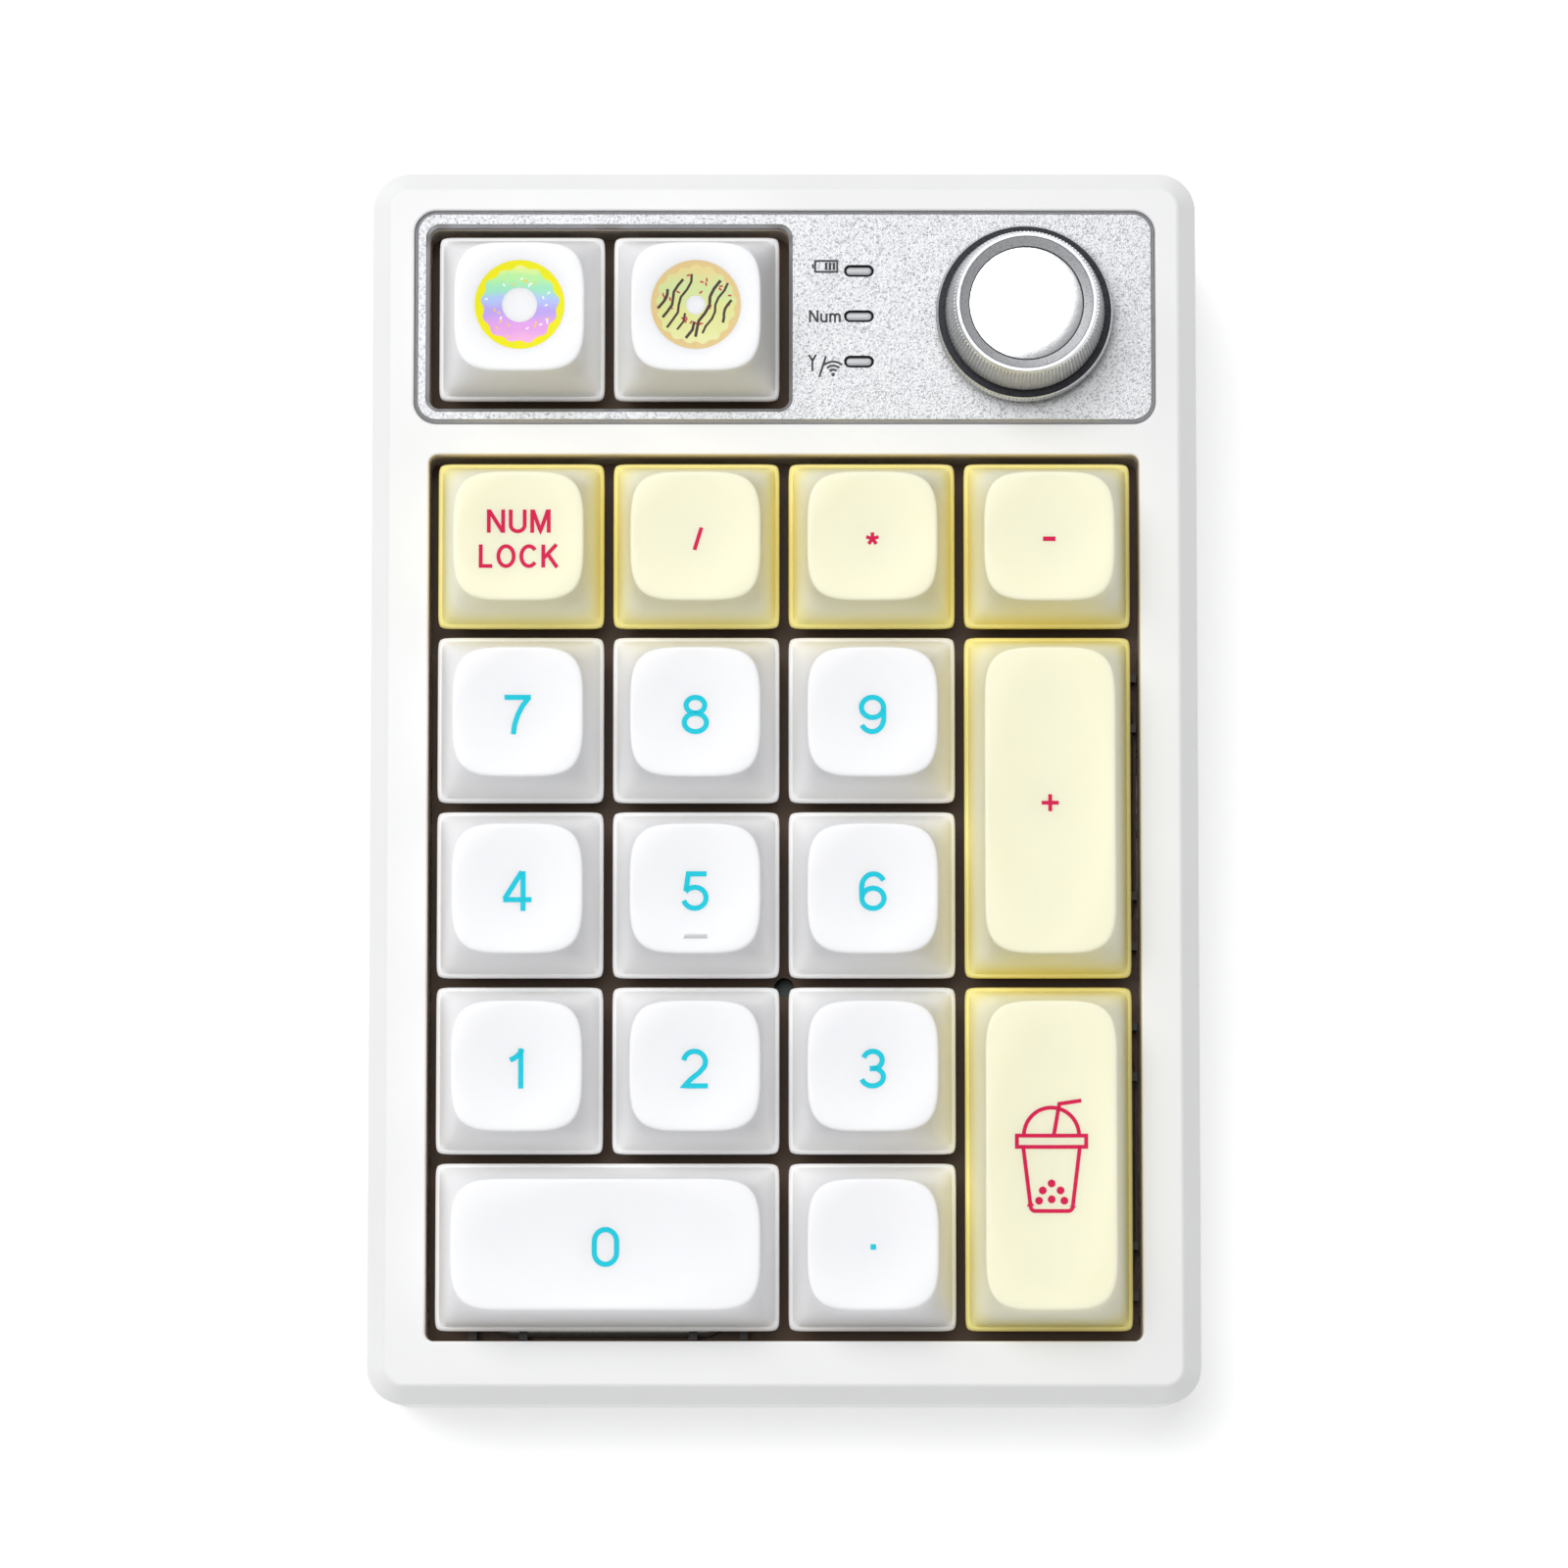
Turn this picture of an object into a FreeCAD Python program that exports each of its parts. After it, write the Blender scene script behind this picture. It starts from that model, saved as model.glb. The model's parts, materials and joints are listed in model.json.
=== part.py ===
import FreeCAD, Part
import math
import os
import re
import Sketcher

# A mechanical numeric keypad. Everything is drawn in the deck's own frame (u right, v to the rear,
# w along the deck's normal, w = 0 on the switch plate's top face) and each sub-part's Placement
# then tilts the deck by the typing angle and stands it on its feet.
# The origin is the bottom centre of the whole object: +X right, +Y to the rear, +Z up.

Vector = FreeCAD.Vector
Rotation = FreeCAD.Rotation
Placement = FreeCAD.Placement

os.makedirs("parts", exist_ok=True)
doc = FreeCAD.newDocument("numeric_keypad")

# ---------------------------------------------------------------- driving dimensions, mm and degrees
driving = {
    # layout of the keys: standard pitch, columns counted from the centre
    "key_pitch": 19.05,
    "key_field_v": -12.2,
    "function_row_v": 50.9,
    "key_travel": 4.0,
    "wide_key_post": 11.938,
    # case: a wedge whose walls stand square to the deck
    "typing_angle": 6.0,
    "case_width": 90.0,
    "case_length": 134.4,
    "case_corner": 4.1,
    "case_chamfer": 2.0,
    "case_wall": 2.0,
    "deck_top": 8.0,
    "deck_skin": 2.2,
    "parting": -5.0,
    "base_depth": 18.56,
    "skirt_wall": 1.4,
    "well_width": 77.2,
    "well_length": 96.2,
    "well_v": -12.3,
    "well_corner": 0.9,
    "window_width": 39.2,
    "window_length": 19.9,
    "window_u": -19.05,
    "window_v": 50.85,
    "window_corner": 1.1,
    # trim panel and what shows through it
    "trim_width": 80.65,
    "trim_length": 23.36,
    "trim_u": 0.075,
    "trim_v": 50.98,
    "trim_corner": 2.4,
    "trim_thickness": 1.0,
    "trim_recess": 0.8,
    "trim_gap": 0.06,
    "trim_chamfer": 0.4,
    "indicator_u": 8.17,
    "indicator_v": 51.03,
    "indicator_pitch": 5.0,
    "indicator_length": 2.75,
    "indicator_height": 0.8,
    "indicator_sink": 0.2,
    "pipe_bottom": -4.2,
    "pipe_top": 7.98,
    "pipe_flange": 0.5,
    "pipe_flange_thickness": 0.6,
    # screws, posts and ribs
    "screw_u": 41.5,
    "screw_front_v": -58.0,
    "screw_rear_v": 62.0,
    "post_radius": 2.7,
    "screw_radius": 0.95,
    "screw_length": 9.5,
    "screw_head_radius": 1.7,
    "screw_head_height": 1.3,
    "screw_seat": 3.0,
    "rib_u": 40.8,
    "rib_width": 3.2,
    "rib_length": 9.0,
    "pilot_relief": 1.0,
    "screw_drive_span": 2.04,
    "screw_drive_slot": 0.51,
    "screw_drive_depth": 0.65,
    # plays and overruns that several features share
    "cut_overrun": 1.0,
    "hole_play": 0.2,
    "pipe_play": 0.05,
    "trim_hole_play": 0.5,
    # feet
    "foot_radius": 4.0,
    "foot_height": 1.5,
    "foot_sink": 0.5,
    "foot_u": 32.0,
    "foot_v": 57.0,
    "foot_chamfer": 0.3,
    # switch plate and circuit board
    "plate_width": 84.8,
    "plate_length": 129.2,
    "plate_corner": 2.0,
    "plate_thickness": 1.5,
    "switch_hole": 14.0,
    "plate_hole_radius": 1.05,
    "board_width": 77.0,
    "board_length": 126.0,
    "board_v": 1.5,
    "board_top": -5.0,
    "board_thickness": 1.6,
    # components on the board
    "socket_width": 10.8,
    "socket_length": 4.4,
    "socket_height": 1.8,
    "socket_u": -0.6,
    "socket_v": 4.8,
    "led_length": 1.6,
    "led_width": 0.8,
    "led_height": 0.6,
    "chip_side": 7.0,
    "chip_height": 0.9,
    "header_width": 6.0,
    "header_length": 4.4,
    "header_height": 3.4,
    "header_offset": 12.0,
    # key switch
    "switch_body": 13.9,
    "switch_flange": 15.6,
    "switch_flange_height": 1.0,
    "switch_corner": 0.8,
    "switch_cavity": 11.4,
    "switch_floor": 1.0,
    "switch_post_radius": 1.95,
    "switch_post_length": 3.3,
    "guide_bore_radius": 1.3,
    "guide_radius": 1.15,
    "guide_bottom": -3.6,
    "guide_bore_end": 0.4,
    "cover_base": 14.6,
    "cover_top": 12.0,
    "cover_height": 5.6,
    "cover_roof": 1.2,
    "cover_hole_width": 7.6,
    "cover_hole_length": 6.2,
    "stem_collar_width": 9.0,
    "stem_collar_length": 7.6,
    "stem_collar_bottom": 3.9,
    "stem_collar_top": 5.35,
    "stem_width": 7.0,
    "stem_length": 5.6,
    "stem_shoulder": 7.0,
    "cross_span": 4.0,
    "cross_arm": 1.2,
    "cross_height": 3.8,
    "spring_radius": 2.0,
    "spring_wire": 0.16,
    "spring_turns": 5.0,
    "spring_gap": 0.02,
    # stabiliser of a double-width key
    "stab_width": 6.4,
    "stab_front": -6.9,
    "stab_rear": 5.3,
    "stab_bottom": -4.4,
    "stab_top": 3.0,
    "stab_wall": 0.9,
    "stab_cavity_rear": 3.6,
    "stab_floor": 0.5,
    "clip_front": -9.85,
    "clip_bottom": 0.05,
    "clip_top": 2.2,
    "wire_v": -8.8,
    "wire_w": 1.35,
    "wire_radius": 0.75,
    "wire_bore": 0.8,
    "wire_arm": 7.3,
    "wire_bend": 1.5,
    "insert_width": 4.2,
    "insert_length": 6.4,
    "insert_bottom": 0.6,
    "insert_slot_width": 2.0,
    "insert_slot_rear": -0.6,
    "insert_slot_height": 2.8,
    # keycap: heights are counted from the skirt's lower edge
    "cap_bottom": 6.3,
    "cap_base": 18.05,
    "cap_lip": 0.8,
    "cap_height": 9.3,
    "cap_top": 13.6,
    "cap_base_corner": 0.85,
    "cap_top_corner": 3.5,
    "cap_inner_base": 15.25,
    "cap_inner_top": 11.2,
    "cap_inner_height": 7.5,
    "cap_boss_radius": 2.75,
    "cap_boss_gap": 0.2,
    "cap_socket_play": 0.06,
    "cap_boss_overlap": 0.3,
    "dish_depth": 0.55,
    "dish_rise": 20.0,
    "homing_bar_length": 2.5,
    "homing_bar_width": 0.3,
    "homing_bar_rise": 0.3,
    "homing_bar_v": -5.1,
    "homing_bar_root": 0.2,
    "homing_bar_dish": 0.3,
    # knob and its rotary encoder
    "knob_u": 26.15,
    "knob_v": 51.05,
    "knob_bottom": 9.1,
    "knob_push": 0.5,
    "knob_flange_radius": 9.62,
    "knob_flange_height": 1.9,
    "knob_groove_radius": 8.2,
    "knob_groove_top": 2.35,
    "knob_body_radius": 8.65,
    "knob_shoulder_radius": 7.75,
    "knob_shoulder_height": 8.1,
    "knob_rim_radius": 7.55,
    "knob_height": 8.5,
    "knob_rim_inner_radius": 7.0,
    "knob_dish_radius": 6.1,
    "knob_dish_height": 7.6,
    "knob_bore_depth": 6.6,
    "shaft_radius": 3.0,
    "shaft_fit": 0.02,
    "shaft_end_gap": 0.1,
    "encoder_width": 12.2,
    "encoder_height": 6.5,
    "encoder_roof": 1.0,
    "encoder_cavity_radius": 5.2,
    "encoder_floor": 1.2,
    "bushing_radius": 3.5,
    "bushing_top": 7.6,
    "bushing_play": 0.06,
    "rotor_radius": 5.0,
    "rotor_bottom": -2.6,
    "rotor_thickness": 1.4,
    "stub_radius": 1.8,
    "stub_flat": 1.2,
    "stub_bottom": -3.1,
    "stub_play": 0.05,
    "shaft_shoulder": 0.6,
    # rear wall: charging socket and mode switch, both under the board
    "port_width": 8.94,
    "port_height": 3.26,
    "port_length": 7.35,
    "port_mouth": 66.85,
    "port_shell": 0.3,
    "port_depth": 6.2,
    "port_tongue_width": 6.7,
    "port_tongue_height": 0.7,
    "port_play": 0.15,
    "port_corner": 1.2,
    "port_inner_corner": 0.9,
    "port_tongue_length": 4.7,
    "mode_u": -22.0,
    "mode_travel": 2.0,
    "mode_housing_width": 8.4,
    "mode_housing_front": 61.0,
    "mode_housing_rear": 64.6,
    "mode_housing_height": 3.0,
    "mode_slider_width": 2.8,
    "mode_nub_width": 1.8,
    "mode_nub_height": 1.3,
    "mode_nub_rear": 66.9,
    "mode_play": 0.25,
    "mode_corner": 0.3,
    "mode_track_play": 0.1,
    "mode_track_wall": 1.0,
    "mode_slider_sink": 0.3,
    "mode_slider_length": 2.0,
    "mode_nub_root": 0.5,
    # battery pack, lying flat on the case floor
    "battery_width": 34.0,
    "battery_length": 50.0,
    "battery_thickness": 5.5,
    "battery_y": 28.0,
    "battery_gap": 0.05,
}

sheet = doc.addObject("Spreadsheet::Sheet", "dimensions")
for row, (alias, number) in enumerate(driving.items(), 1):
    sheet.set(f"A{row}", alias.replace("_", " "))
    sheet.set(f"B{row}", str(number))
    sheet.setAlias(f"B{row}", alias)
doc.recompute()


def bound(text):
    """The same expression with every alias written as a reference to the sheet."""
    return re.sub(r"[a-z]+(?:_[a-z]+)+|parting", lambda m: "dimensions." + m.group(0), str(text))


def value(text):
    """What an expression of the sheet's aliases comes to now."""
    return float(sheet.evalExpression(str(text)))


# ---------------------------------------------------------------- sketches
class Drawing:
    """A sketch on one of a body's origin planes, whose sizes are bound to the sheet."""

    def __init__(self, body, name, height="0", plane="XY_Plane", turned=None):
        self.sketch = body.newObject("Sketcher::SketchObject", name)
        origin_plane = [f for f in body.Origin.OriginFeatures if f.Role == plane][0]
        self.sketch.AttachmentSupport = (origin_plane, [""])
        self.sketch.MapMode = "FlatFace"
        if turned is not None:
            self.sketch.AttachmentOffset = Placement(Vector(0, 0, 0), turned)
        self.sketch.setExpression("AttachmentOffset.Base.z", bound(height))

    def line(self, start, end):
        return self.sketch.addGeometry(Part.LineSegment(Vector(*start, 0), Vector(*end, 0)))

    def arc(self, centre, radius, first, last):
        circle = Part.Circle(Vector(*centre, 0), Vector(0, 0, 1), radius)
        return self.sketch.addGeometry(
            Part.ArcOfCircle(circle, math.radians(first), math.radians(last))
        )

    def rule(self, *words):
        return self.sketch.addConstraint(Sketcher.Constraint(*words))

    def size(self, name, expression, *words):
        """A dimension, named and bound to an expression of the sheet."""
        index = self.rule(*words, value(expression))
        self.sketch.renameConstraint(index, name)
        self.sketch.setExpression("Constraints." + name, bound(expression))

    def rectangle(self, label, width, length, u="0", v="0"):
        right = f"({u}) + ({width}) / 2"
        rear = f"({v}) + ({length}) / 2"
        x2, y2 = value(right), value(rear)
        x1, y1 = x2 - value(width), y2 - value(length)
        corners = [(x1, y1), (x2, y1), (x2, y2), (x1, y2)]
        first = None
        for k in range(4):
            index = self.line(corners[k], corners[(k + 1) % 4])
            first = index if first is None else first
        for k in range(4):
            self.rule("Coincident", first + k, 2, first + (k + 1) % 4, 1)
            self.rule("Vertical" if k % 2 else "Horizontal", first + k)
        self.size(label + "_width", width, "DistanceX", first, 1, first, 2)
        self.size(label + "_length", length, "DistanceY", first + 1, 1, first + 1, 2)
        self.size(label + "_right", right, "DistanceX", -1, 1, first + 1, 1)
        self.size(label + "_rear", rear, "DistanceY", -1, 1, first + 2, 1)
        return self

    def rounded(self, label, width, length, corner, u="0", v="0"):
        right = f"({u}) + ({width}) / 2"
        rear = f"({v}) + ({length}) / 2"
        x2, y2, r = value(right), value(rear), value(corner)
        x1, y1 = x2 - value(width), y2 - value(length)
        sides = [
            ((x1 + r, y1), (x2 - r, y1)),
            ((x2, y1 + r), (x2, y2 - r)),
            ((x2 - r, y2), (x1 + r, y2)),
            ((x1, y2 - r), (x1, y1 + r)),
        ]
        centres = [(x2 - r, y1 + r), (x2 - r, y2 - r), (x1 + r, y2 - r), (x1 + r, y1 + r)]
        first = None
        for k in range(4):
            index = self.line(*sides[k])
            first = index if first is None else first
            self.arc(centres[k], r, 90 * k - 90, 90 * k)
        for k in range(4):
            side = first + 2 * k
            self.rule("Tangent", side, 2, side + 1, 1)
            self.rule("Tangent", side + 1, 2, first + (2 * k + 2) % 8, 1)
            self.rule("Vertical" if k % 2 else "Horizontal", side)
            if k:
                self.rule("Equal", first + 1, side + 1)
        self.size(label + "_corner", corner, "Radius", first + 1)
        self.size(label + "_width", width, "DistanceX", first + 6, 1, first + 2, 1)
        self.size(label + "_length", length, "DistanceY", first, 1, first + 4, 1)
        self.size(label + "_right", right, "DistanceX", -1, 1, first + 2, 1)
        self.size(label + "_rear", rear, "DistanceY", -1, 1, first + 4, 1)
        return self

    def slot(self, label, length, height, u="0", v="0"):
        """A full-round slot along u."""
        r = value(height) / 2
        reach = value(length) / 2 - r
        x, y = value(u), value(v)
        low = self.line((x - reach, y - r), (x + reach, y - r))
        right = self.arc((x + reach, y), r, -90, 90)
        top = self.line((x + reach, y + r), (x - reach, y + r))
        left = self.arc((x - reach, y), r, 90, 270)
        ring = [low, right, top, left]
        for k in range(4):
            self.rule("Tangent", ring[k], 2, ring[(k + 1) % 4], 1)
        self.rule("Horizontal", low)
        self.size(label + "_radius", f"({height}) / 2", "Radius", right)
        self.size(label + "_straight", f"({length}) - ({height})", "DistanceX", low, 1, low, 2)
        self.size(label + "_u", f"({u}) + (({length}) - ({height})) / 2", "DistanceX", -1, 1, right, 3)
        self.size(label + "_v", v, "DistanceY", -1, 1, right, 3)
        return self

    def circle(self, label, radius, u="0", v="0"):
        centre = Vector(value(u), value(v), 0)
        index = self.sketch.addGeometry(Part.Circle(centre, Vector(0, 0, 1), value(radius)))
        self.size(label + "_radius", radius, "Radius", index)
        self.size(label + "_u", u, "DistanceX", -1, 1, index, 3)
        self.size(label + "_v", v, "DistanceY", -1, 1, index, 3)
        return self

    def polygon(self, label, points):
        """A closed outline through points given as pairs of expressions."""
        corners = [(value(a), value(b)) for a, b in points]
        count = len(corners)
        first = None
        for k in range(count):
            index = self.line(corners[k], corners[(k + 1) % count])
            first = index if first is None else first
        for k, (across, up) in enumerate(points):
            self.rule("Coincident", first + (k - 1) % count, 2, first + k, 1)
            self.size(f"{label}_across_{k}", across, "DistanceX", -1, 1, first + k, 1)
            self.size(f"{label}_up_{k}", up, "DistanceY", -1, 1, first + k, 1)
        return self


# ---------------------------------------------------------------- features
def new_body(label):
    body = doc.addObject("PartDesign::Body", label)
    body.Label = label
    return body


def extrude(body, kind, name, drawing, length, upwards):
    """A Pad or Pocket from the drawing's plane; upwards is along the plane's normal."""
    feature = body.newObject("PartDesign::" + kind, name)
    feature.Profile = drawing.sketch
    feature.setExpression("Length", bound(length))
    feature.Reversed = upwards if kind == "Pocket" else not upwards
    return feature


def pad(body, name, drawing, length, upwards=True):
    return extrude(body, "Pad", name, drawing, length, upwards)


def pocket(body, name, drawing, length, upwards=False):
    return extrude(body, "Pocket", name, drawing, length, upwards)


def cut_across(body, name, drawing, length):
    """A Pocket to both sides of the drawing's plane."""
    feature = pocket(body, name, drawing, length)
    feature.Midplane = True
    return feature


def chamfer_at(body, name, base, height, size, chosen=lambda edge: True):
    """A chamfer on the edges that lie at a height of the body's own frame."""
    doc.recompute()
    level = value(height)
    names = []
    for number, edge in enumerate(base.Shape.Edges, 1):
        box = edge.BoundBox
        if abs(box.ZMin - level) < 1e-4 and abs(box.ZMax - level) < 1e-4 and chosen(edge):
            names.append(f"Edge{number}")
    feature = body.newObject("PartDesign::Chamfer", name)
    feature.Base = (base, names)
    feature.setExpression("Size", bound(size))
    return feature


def clone(label, source):
    """A body of its own that follows another body's shape."""
    body = new_body(label)
    copy = doc.addObject("PartDesign::FeatureBase", label + "_base")
    body.Group = [copy]
    copy.BaseFeature = source
    body.Tip = copy
    return body


def group(label, placed):
    """One node of several separate solids: (source, placement) pairs as links in a compound."""
    links = []
    for number, (source, place) in enumerate(placed, 1):
        link = doc.addObject("App::Link", f"{label}_{number}")
        link.LinkedObject = source
        link.Placement = place
        links.append(link)
    compound = doc.addObject("Part::Compound", label)
    compound.Label = label
    compound.Links = links
    return compound


# ---------------------------------------------------------------- where things are
tilt = Rotation(Vector(1, 0, 0), value("typing_angle"))
base_slope = "tan(typing_angle * 1 deg)"
base_reach = "case_length / 2"
front_y = value(
    f"-({base_reach}) * cos(typing_angle * 1 deg) - (deck_top - case_chamfer) * sin(typing_angle * 1 deg)"
)
rear_y = value(
    f"({base_reach}) * cos(typing_angle * 1 deg)"
    f" + (base_depth + ({base_reach}) * {base_slope}) * sin(typing_angle * 1 deg)"
)
foot_stand = "(foot_height - foot_sink)"
stand = value(f"base_depth * cos(typing_angle * 1 deg) + {foot_stand}")
deck = Placement(Vector(0, -(front_y + rear_y) / 2, stand), tilt)
upright = Placement()

# name, column and row counted in pitches from the field's centre, and how a wide key lies
number_keys = [
    ("num_lock", -1.5, 2, None),
    ("divide", -0.5, 2, None),
    ("multiply", 0.5, 2, None),
    ("minus", 1.5, 2, None),
    ("7", -1.5, 1, None),
    ("8", -0.5, 1, None),
    ("9", 0.5, 1, None),
    ("plus", 1.5, 0.5, "down"),
    ("4", -1.5, 0, None),
    ("5", -0.5, 0, None),
    ("6", 0.5, 0, None),
    ("1", -1.5, -1, None),
    ("2", -0.5, -1, None),
    ("3", 0.5, -1, None),
    ("enter", 1.5, -1.5, "down"),
    ("0", -1, -2, "across"),
    ("decimal", 0.5, -2, None),
]
keys = [
    (name, f"key_pitch * {column}", f"key_field_v + key_pitch * {row}", wide)
    for name, column, row, wide in number_keys
]
for number, column in ((1, -1.5), (2, -0.5)):
    keys.append((f"function_{number}", f"key_pitch * {column}", "function_row_v", None))


def at(u, v, w="0", turn=None):
    """A placement in the deck's frame."""
    return Placement(Vector(value(u), value(v), value(w)), turn or Rotation())


def key_place(key):
    """Where a key's own frame sits: a wide key's long way runs along its u."""
    _, u, v, wide = key
    return at(u, v, "0", Rotation(Vector(0, 0, 1), 90 if wide == "down" else 0))


def post_sides(wide):
    """The stabiliser posts of a wide key, as offsets along its long way."""
    return ["-wide_key_post", "wide_key_post"] if wide else []


screws = [
    (f"{side} * screw_u", v)
    for v in ("screw_front_v", "(screw_front_v + screw_rear_v) / 2", "screw_rear_v")
    for side in (-1, 1)
]
ribs = [
    (f"{side} * rib_u", v)
    for v in ("screw_front_v / 2", "screw_rear_v / 2")
    for side in (-1, 1)
]
indicators = [f"indicator_v + indicator_pitch * {step}" for step in (1, 0, -1)]
inner_width = "(case_width - 2 * case_wall)"
inner_length = "(case_length - 2 * case_wall)"
nodes = []


def keep(item, place=deck):
    """Place a finished sub-part and list it for export."""
    item.Placement = place
    nodes.append(item)
    return item


# ---------------------------------------------------------------- case
def make_top_case():
    body = new_body("top_case")
    outline = Drawing(body, "top_outline", "parting").rounded(
        "case", "case_width", "case_length", "case_corner"
    )
    block = pad(body, "top_block", outline, "deck_top - parting")
    chamfer_at(body, "top_chamfer", block, "deck_top", "case_chamfer")
    hollow = Drawing(body, "top_hollow_outline", "parting")
    hollow.rectangle("inside", inner_width, inner_length)
    hollow.rectangle(
        "well_skirt",
        "well_width + 2 * skirt_wall",
        "well_length + 2 * skirt_wall",
        "0",
        "well_v",
    )
    hollow.rectangle(
        "window_skirt",
        "window_width + 2 * skirt_wall",
        "window_length + 2 * skirt_wall",
        "window_u",
        "window_v",
    )
    pocket(body, "top_hollow", hollow, "deck_top - deck_skin - parting", upwards=True)
    under = Drawing(body, "plate_room_outline", "parting")
    under.rectangle("inside", inner_width, inner_length)
    pocket(body, "plate_room", under, "-parting", upwards=True)
    bosses = Drawing(body, "boss_circles", "parting")
    for number, (u, v) in enumerate(screws):
        bosses.circle(f"boss_{number}", "post_radius", u, v)
    pad(body, "bosses", bosses, "deck_top - deck_skin - parting")
    pilots = Drawing(body, "pilot_circles", "parting")
    for number, (u, v) in enumerate(screws):
        pilots.circle(f"pilot_{number}", "screw_radius + shaft_fit", u, v)
    pocket(body, "pilot_holes", pilots, "screw_length - screw_seat + pilot_relief", upwards=True)
    recess = Drawing(body, "trim_recess_outline", "deck_top").rounded(
        "recess",
        "trim_width + 2 * trim_gap",
        "trim_length + 2 * trim_gap",
        "trim_corner + trim_gap",
        "trim_u",
        "trim_v",
    )
    pocket(body, "trim_recess", recess, "trim_recess")
    openings = Drawing(body, "key_openings", "deck_top")
    openings.rounded("well", "well_width", "well_length", "well_corner", "0", "well_v")
    openings.rounded(
        "window", "window_width", "window_length", "window_corner", "window_u", "window_v"
    )
    openings.circle("bushing", "bushing_radius + hole_play", "knob_u", "knob_v")
    for number, v in enumerate(indicators):
        openings.slot(
            f"indicator_{number}",
            "indicator_length + 2 * pipe_play",
            "indicator_height + 2 * pipe_play",
            "indicator_u",
            v,
        )
    pocket(body, "openings", openings, "deck_top - parting")
    return body


def make_bottom_case():
    body = new_body("bottom_case")
    outline = Drawing(body, "bottom_outline", "parting").rounded(
        "case", "case_width", "case_length", "case_corner"
    )
    pad(body, "bottom_block", outline, "2 * base_depth", upwards=False)
    floor = "(-base_depth + case_wall / cos(typing_angle * 1 deg))"
    reach = f"({inner_length} / 2)"
    side = Drawing(body, "tub_side_outline", "0", "YZ_Plane").polygon(
        "tub",
        [
            (f"-{reach}", "parting + cut_overrun"),
            (f"-{reach}", f"{floor} + {reach} * {base_slope}"),
            (reach, f"{floor} - {reach} * {base_slope}"),
            (reach, "parting + cut_overrun"),
        ],
    )
    cut_across(body, "tub", side, inner_width)
    posts = Drawing(body, "post_circles", "parting")
    for number, (u, v) in enumerate(screws):
        posts.circle(f"post_{number}", "post_radius", u, v)
    pad(body, "posts", posts, "2 * base_depth", upwards=False)
    rails = Drawing(body, "rib_outlines", "-plate_thickness")
    for number, (u, v) in enumerate(ribs):
        rails.rectangle(f"rib_{number}", "rib_width", "rib_length", u, v)
    pad(body, "ribs", rails, "2 * base_depth", upwards=False)
    far = "case_length"
    under = Drawing(body, "base_side_outline", "0", "YZ_Plane").polygon(
        "under",
        [
            (f"-{far}", f"-base_depth + {far} * {base_slope}"),
            (f"-{far}", "-4 * base_depth"),
            (far, "-4 * base_depth"),
            (far, f"-base_depth - {far} * {base_slope}"),
        ],
    )
    cut_across(body, "base_slope", under, "2 * case_width")
    shanks = Drawing(body, "shank_circles", "parting")
    heads = Drawing(body, "head_circles", "parting - screw_seat")
    for number, (u, v) in enumerate(screws):
        shanks.circle(f"shank_{number}", "screw_radius + bushing_play", u, v)
        heads.circle(f"head_{number}", "screw_head_radius + bushing_play", u, v)
    pocket(body, "shank_holes", shanks, "2 * base_depth")
    pocket(body, "head_holes", heads, "2 * base_depth")
    sinks = Drawing(
        body,
        "foot_circles",
        "-base_depth",
        turned=Rotation(Vector(1, 0, 0), -value("typing_angle")),
    )
    for number, (u, v) in enumerate(feet):
        sinks.circle(f"foot_{number}", "foot_radius + bushing_play", u, v)
    pocket(body, "foot_sinks", sinks, "foot_sink", upwards=True)
    port = Drawing(body, "port_outline", "-case_length / 2 - cut_overrun", "XZ_Plane")
    port.rounded(
        "port",
        "port_width + 2 * port_play",
        "port_height + 2 * port_play",
        "port_corner",
        "0",
        "board_top - board_thickness - port_height / 2",
    )
    port.rounded(
        "mode",
        "mode_nub_width + 2 * mode_travel + 2 * mode_play",
        "mode_nub_height + 2 * mode_play",
        "mode_corner",
        "mode_u",
        "board_top - board_thickness - mode_housing_height / 2",
    )
    pocket(body, "rear_openings", port, "case_wall + 2 * cut_overrun", upwards=True)
    return body


feet = [
    (f"{side} * foot_u", f"{end} * foot_v")
    for side in (-1, 1)
    for end in (-1, 1)
]


def make_foot():
    body = new_body("rubber_foot")
    disc = Drawing(body, "foot_disc_outline").circle("foot", "foot_radius")
    block = pad(body, "foot_disc", disc, "foot_height")
    chamfer_at(body, "foot_edge", block, "0", "foot_chamfer")
    return body


def make_screw():
    """Origin at the head's seat, shank upwards."""
    body = new_body("case_screw")
    shank = Drawing(body, "screw_shank_outline").circle("shank", "screw_radius")
    pad(body, "screw_shank", shank, "screw_length")
    head = Drawing(body, "screw_head_outline").circle("head", "screw_head_radius")
    pad(body, "screw_head", head, "screw_head_height", upwards=False)
    span, slot = "screw_drive_span", "screw_drive_slot"
    for number, (width, length) in enumerate(((span, slot), (slot, span))):
        cross = Drawing(body, f"screw_drive_outline_{number}", "-screw_head_height")
        cross.rectangle("drive", width, length)
        pocket(body, f"screw_drive_{number}", cross, "screw_drive_depth", upwards=True)
    return body


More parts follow.
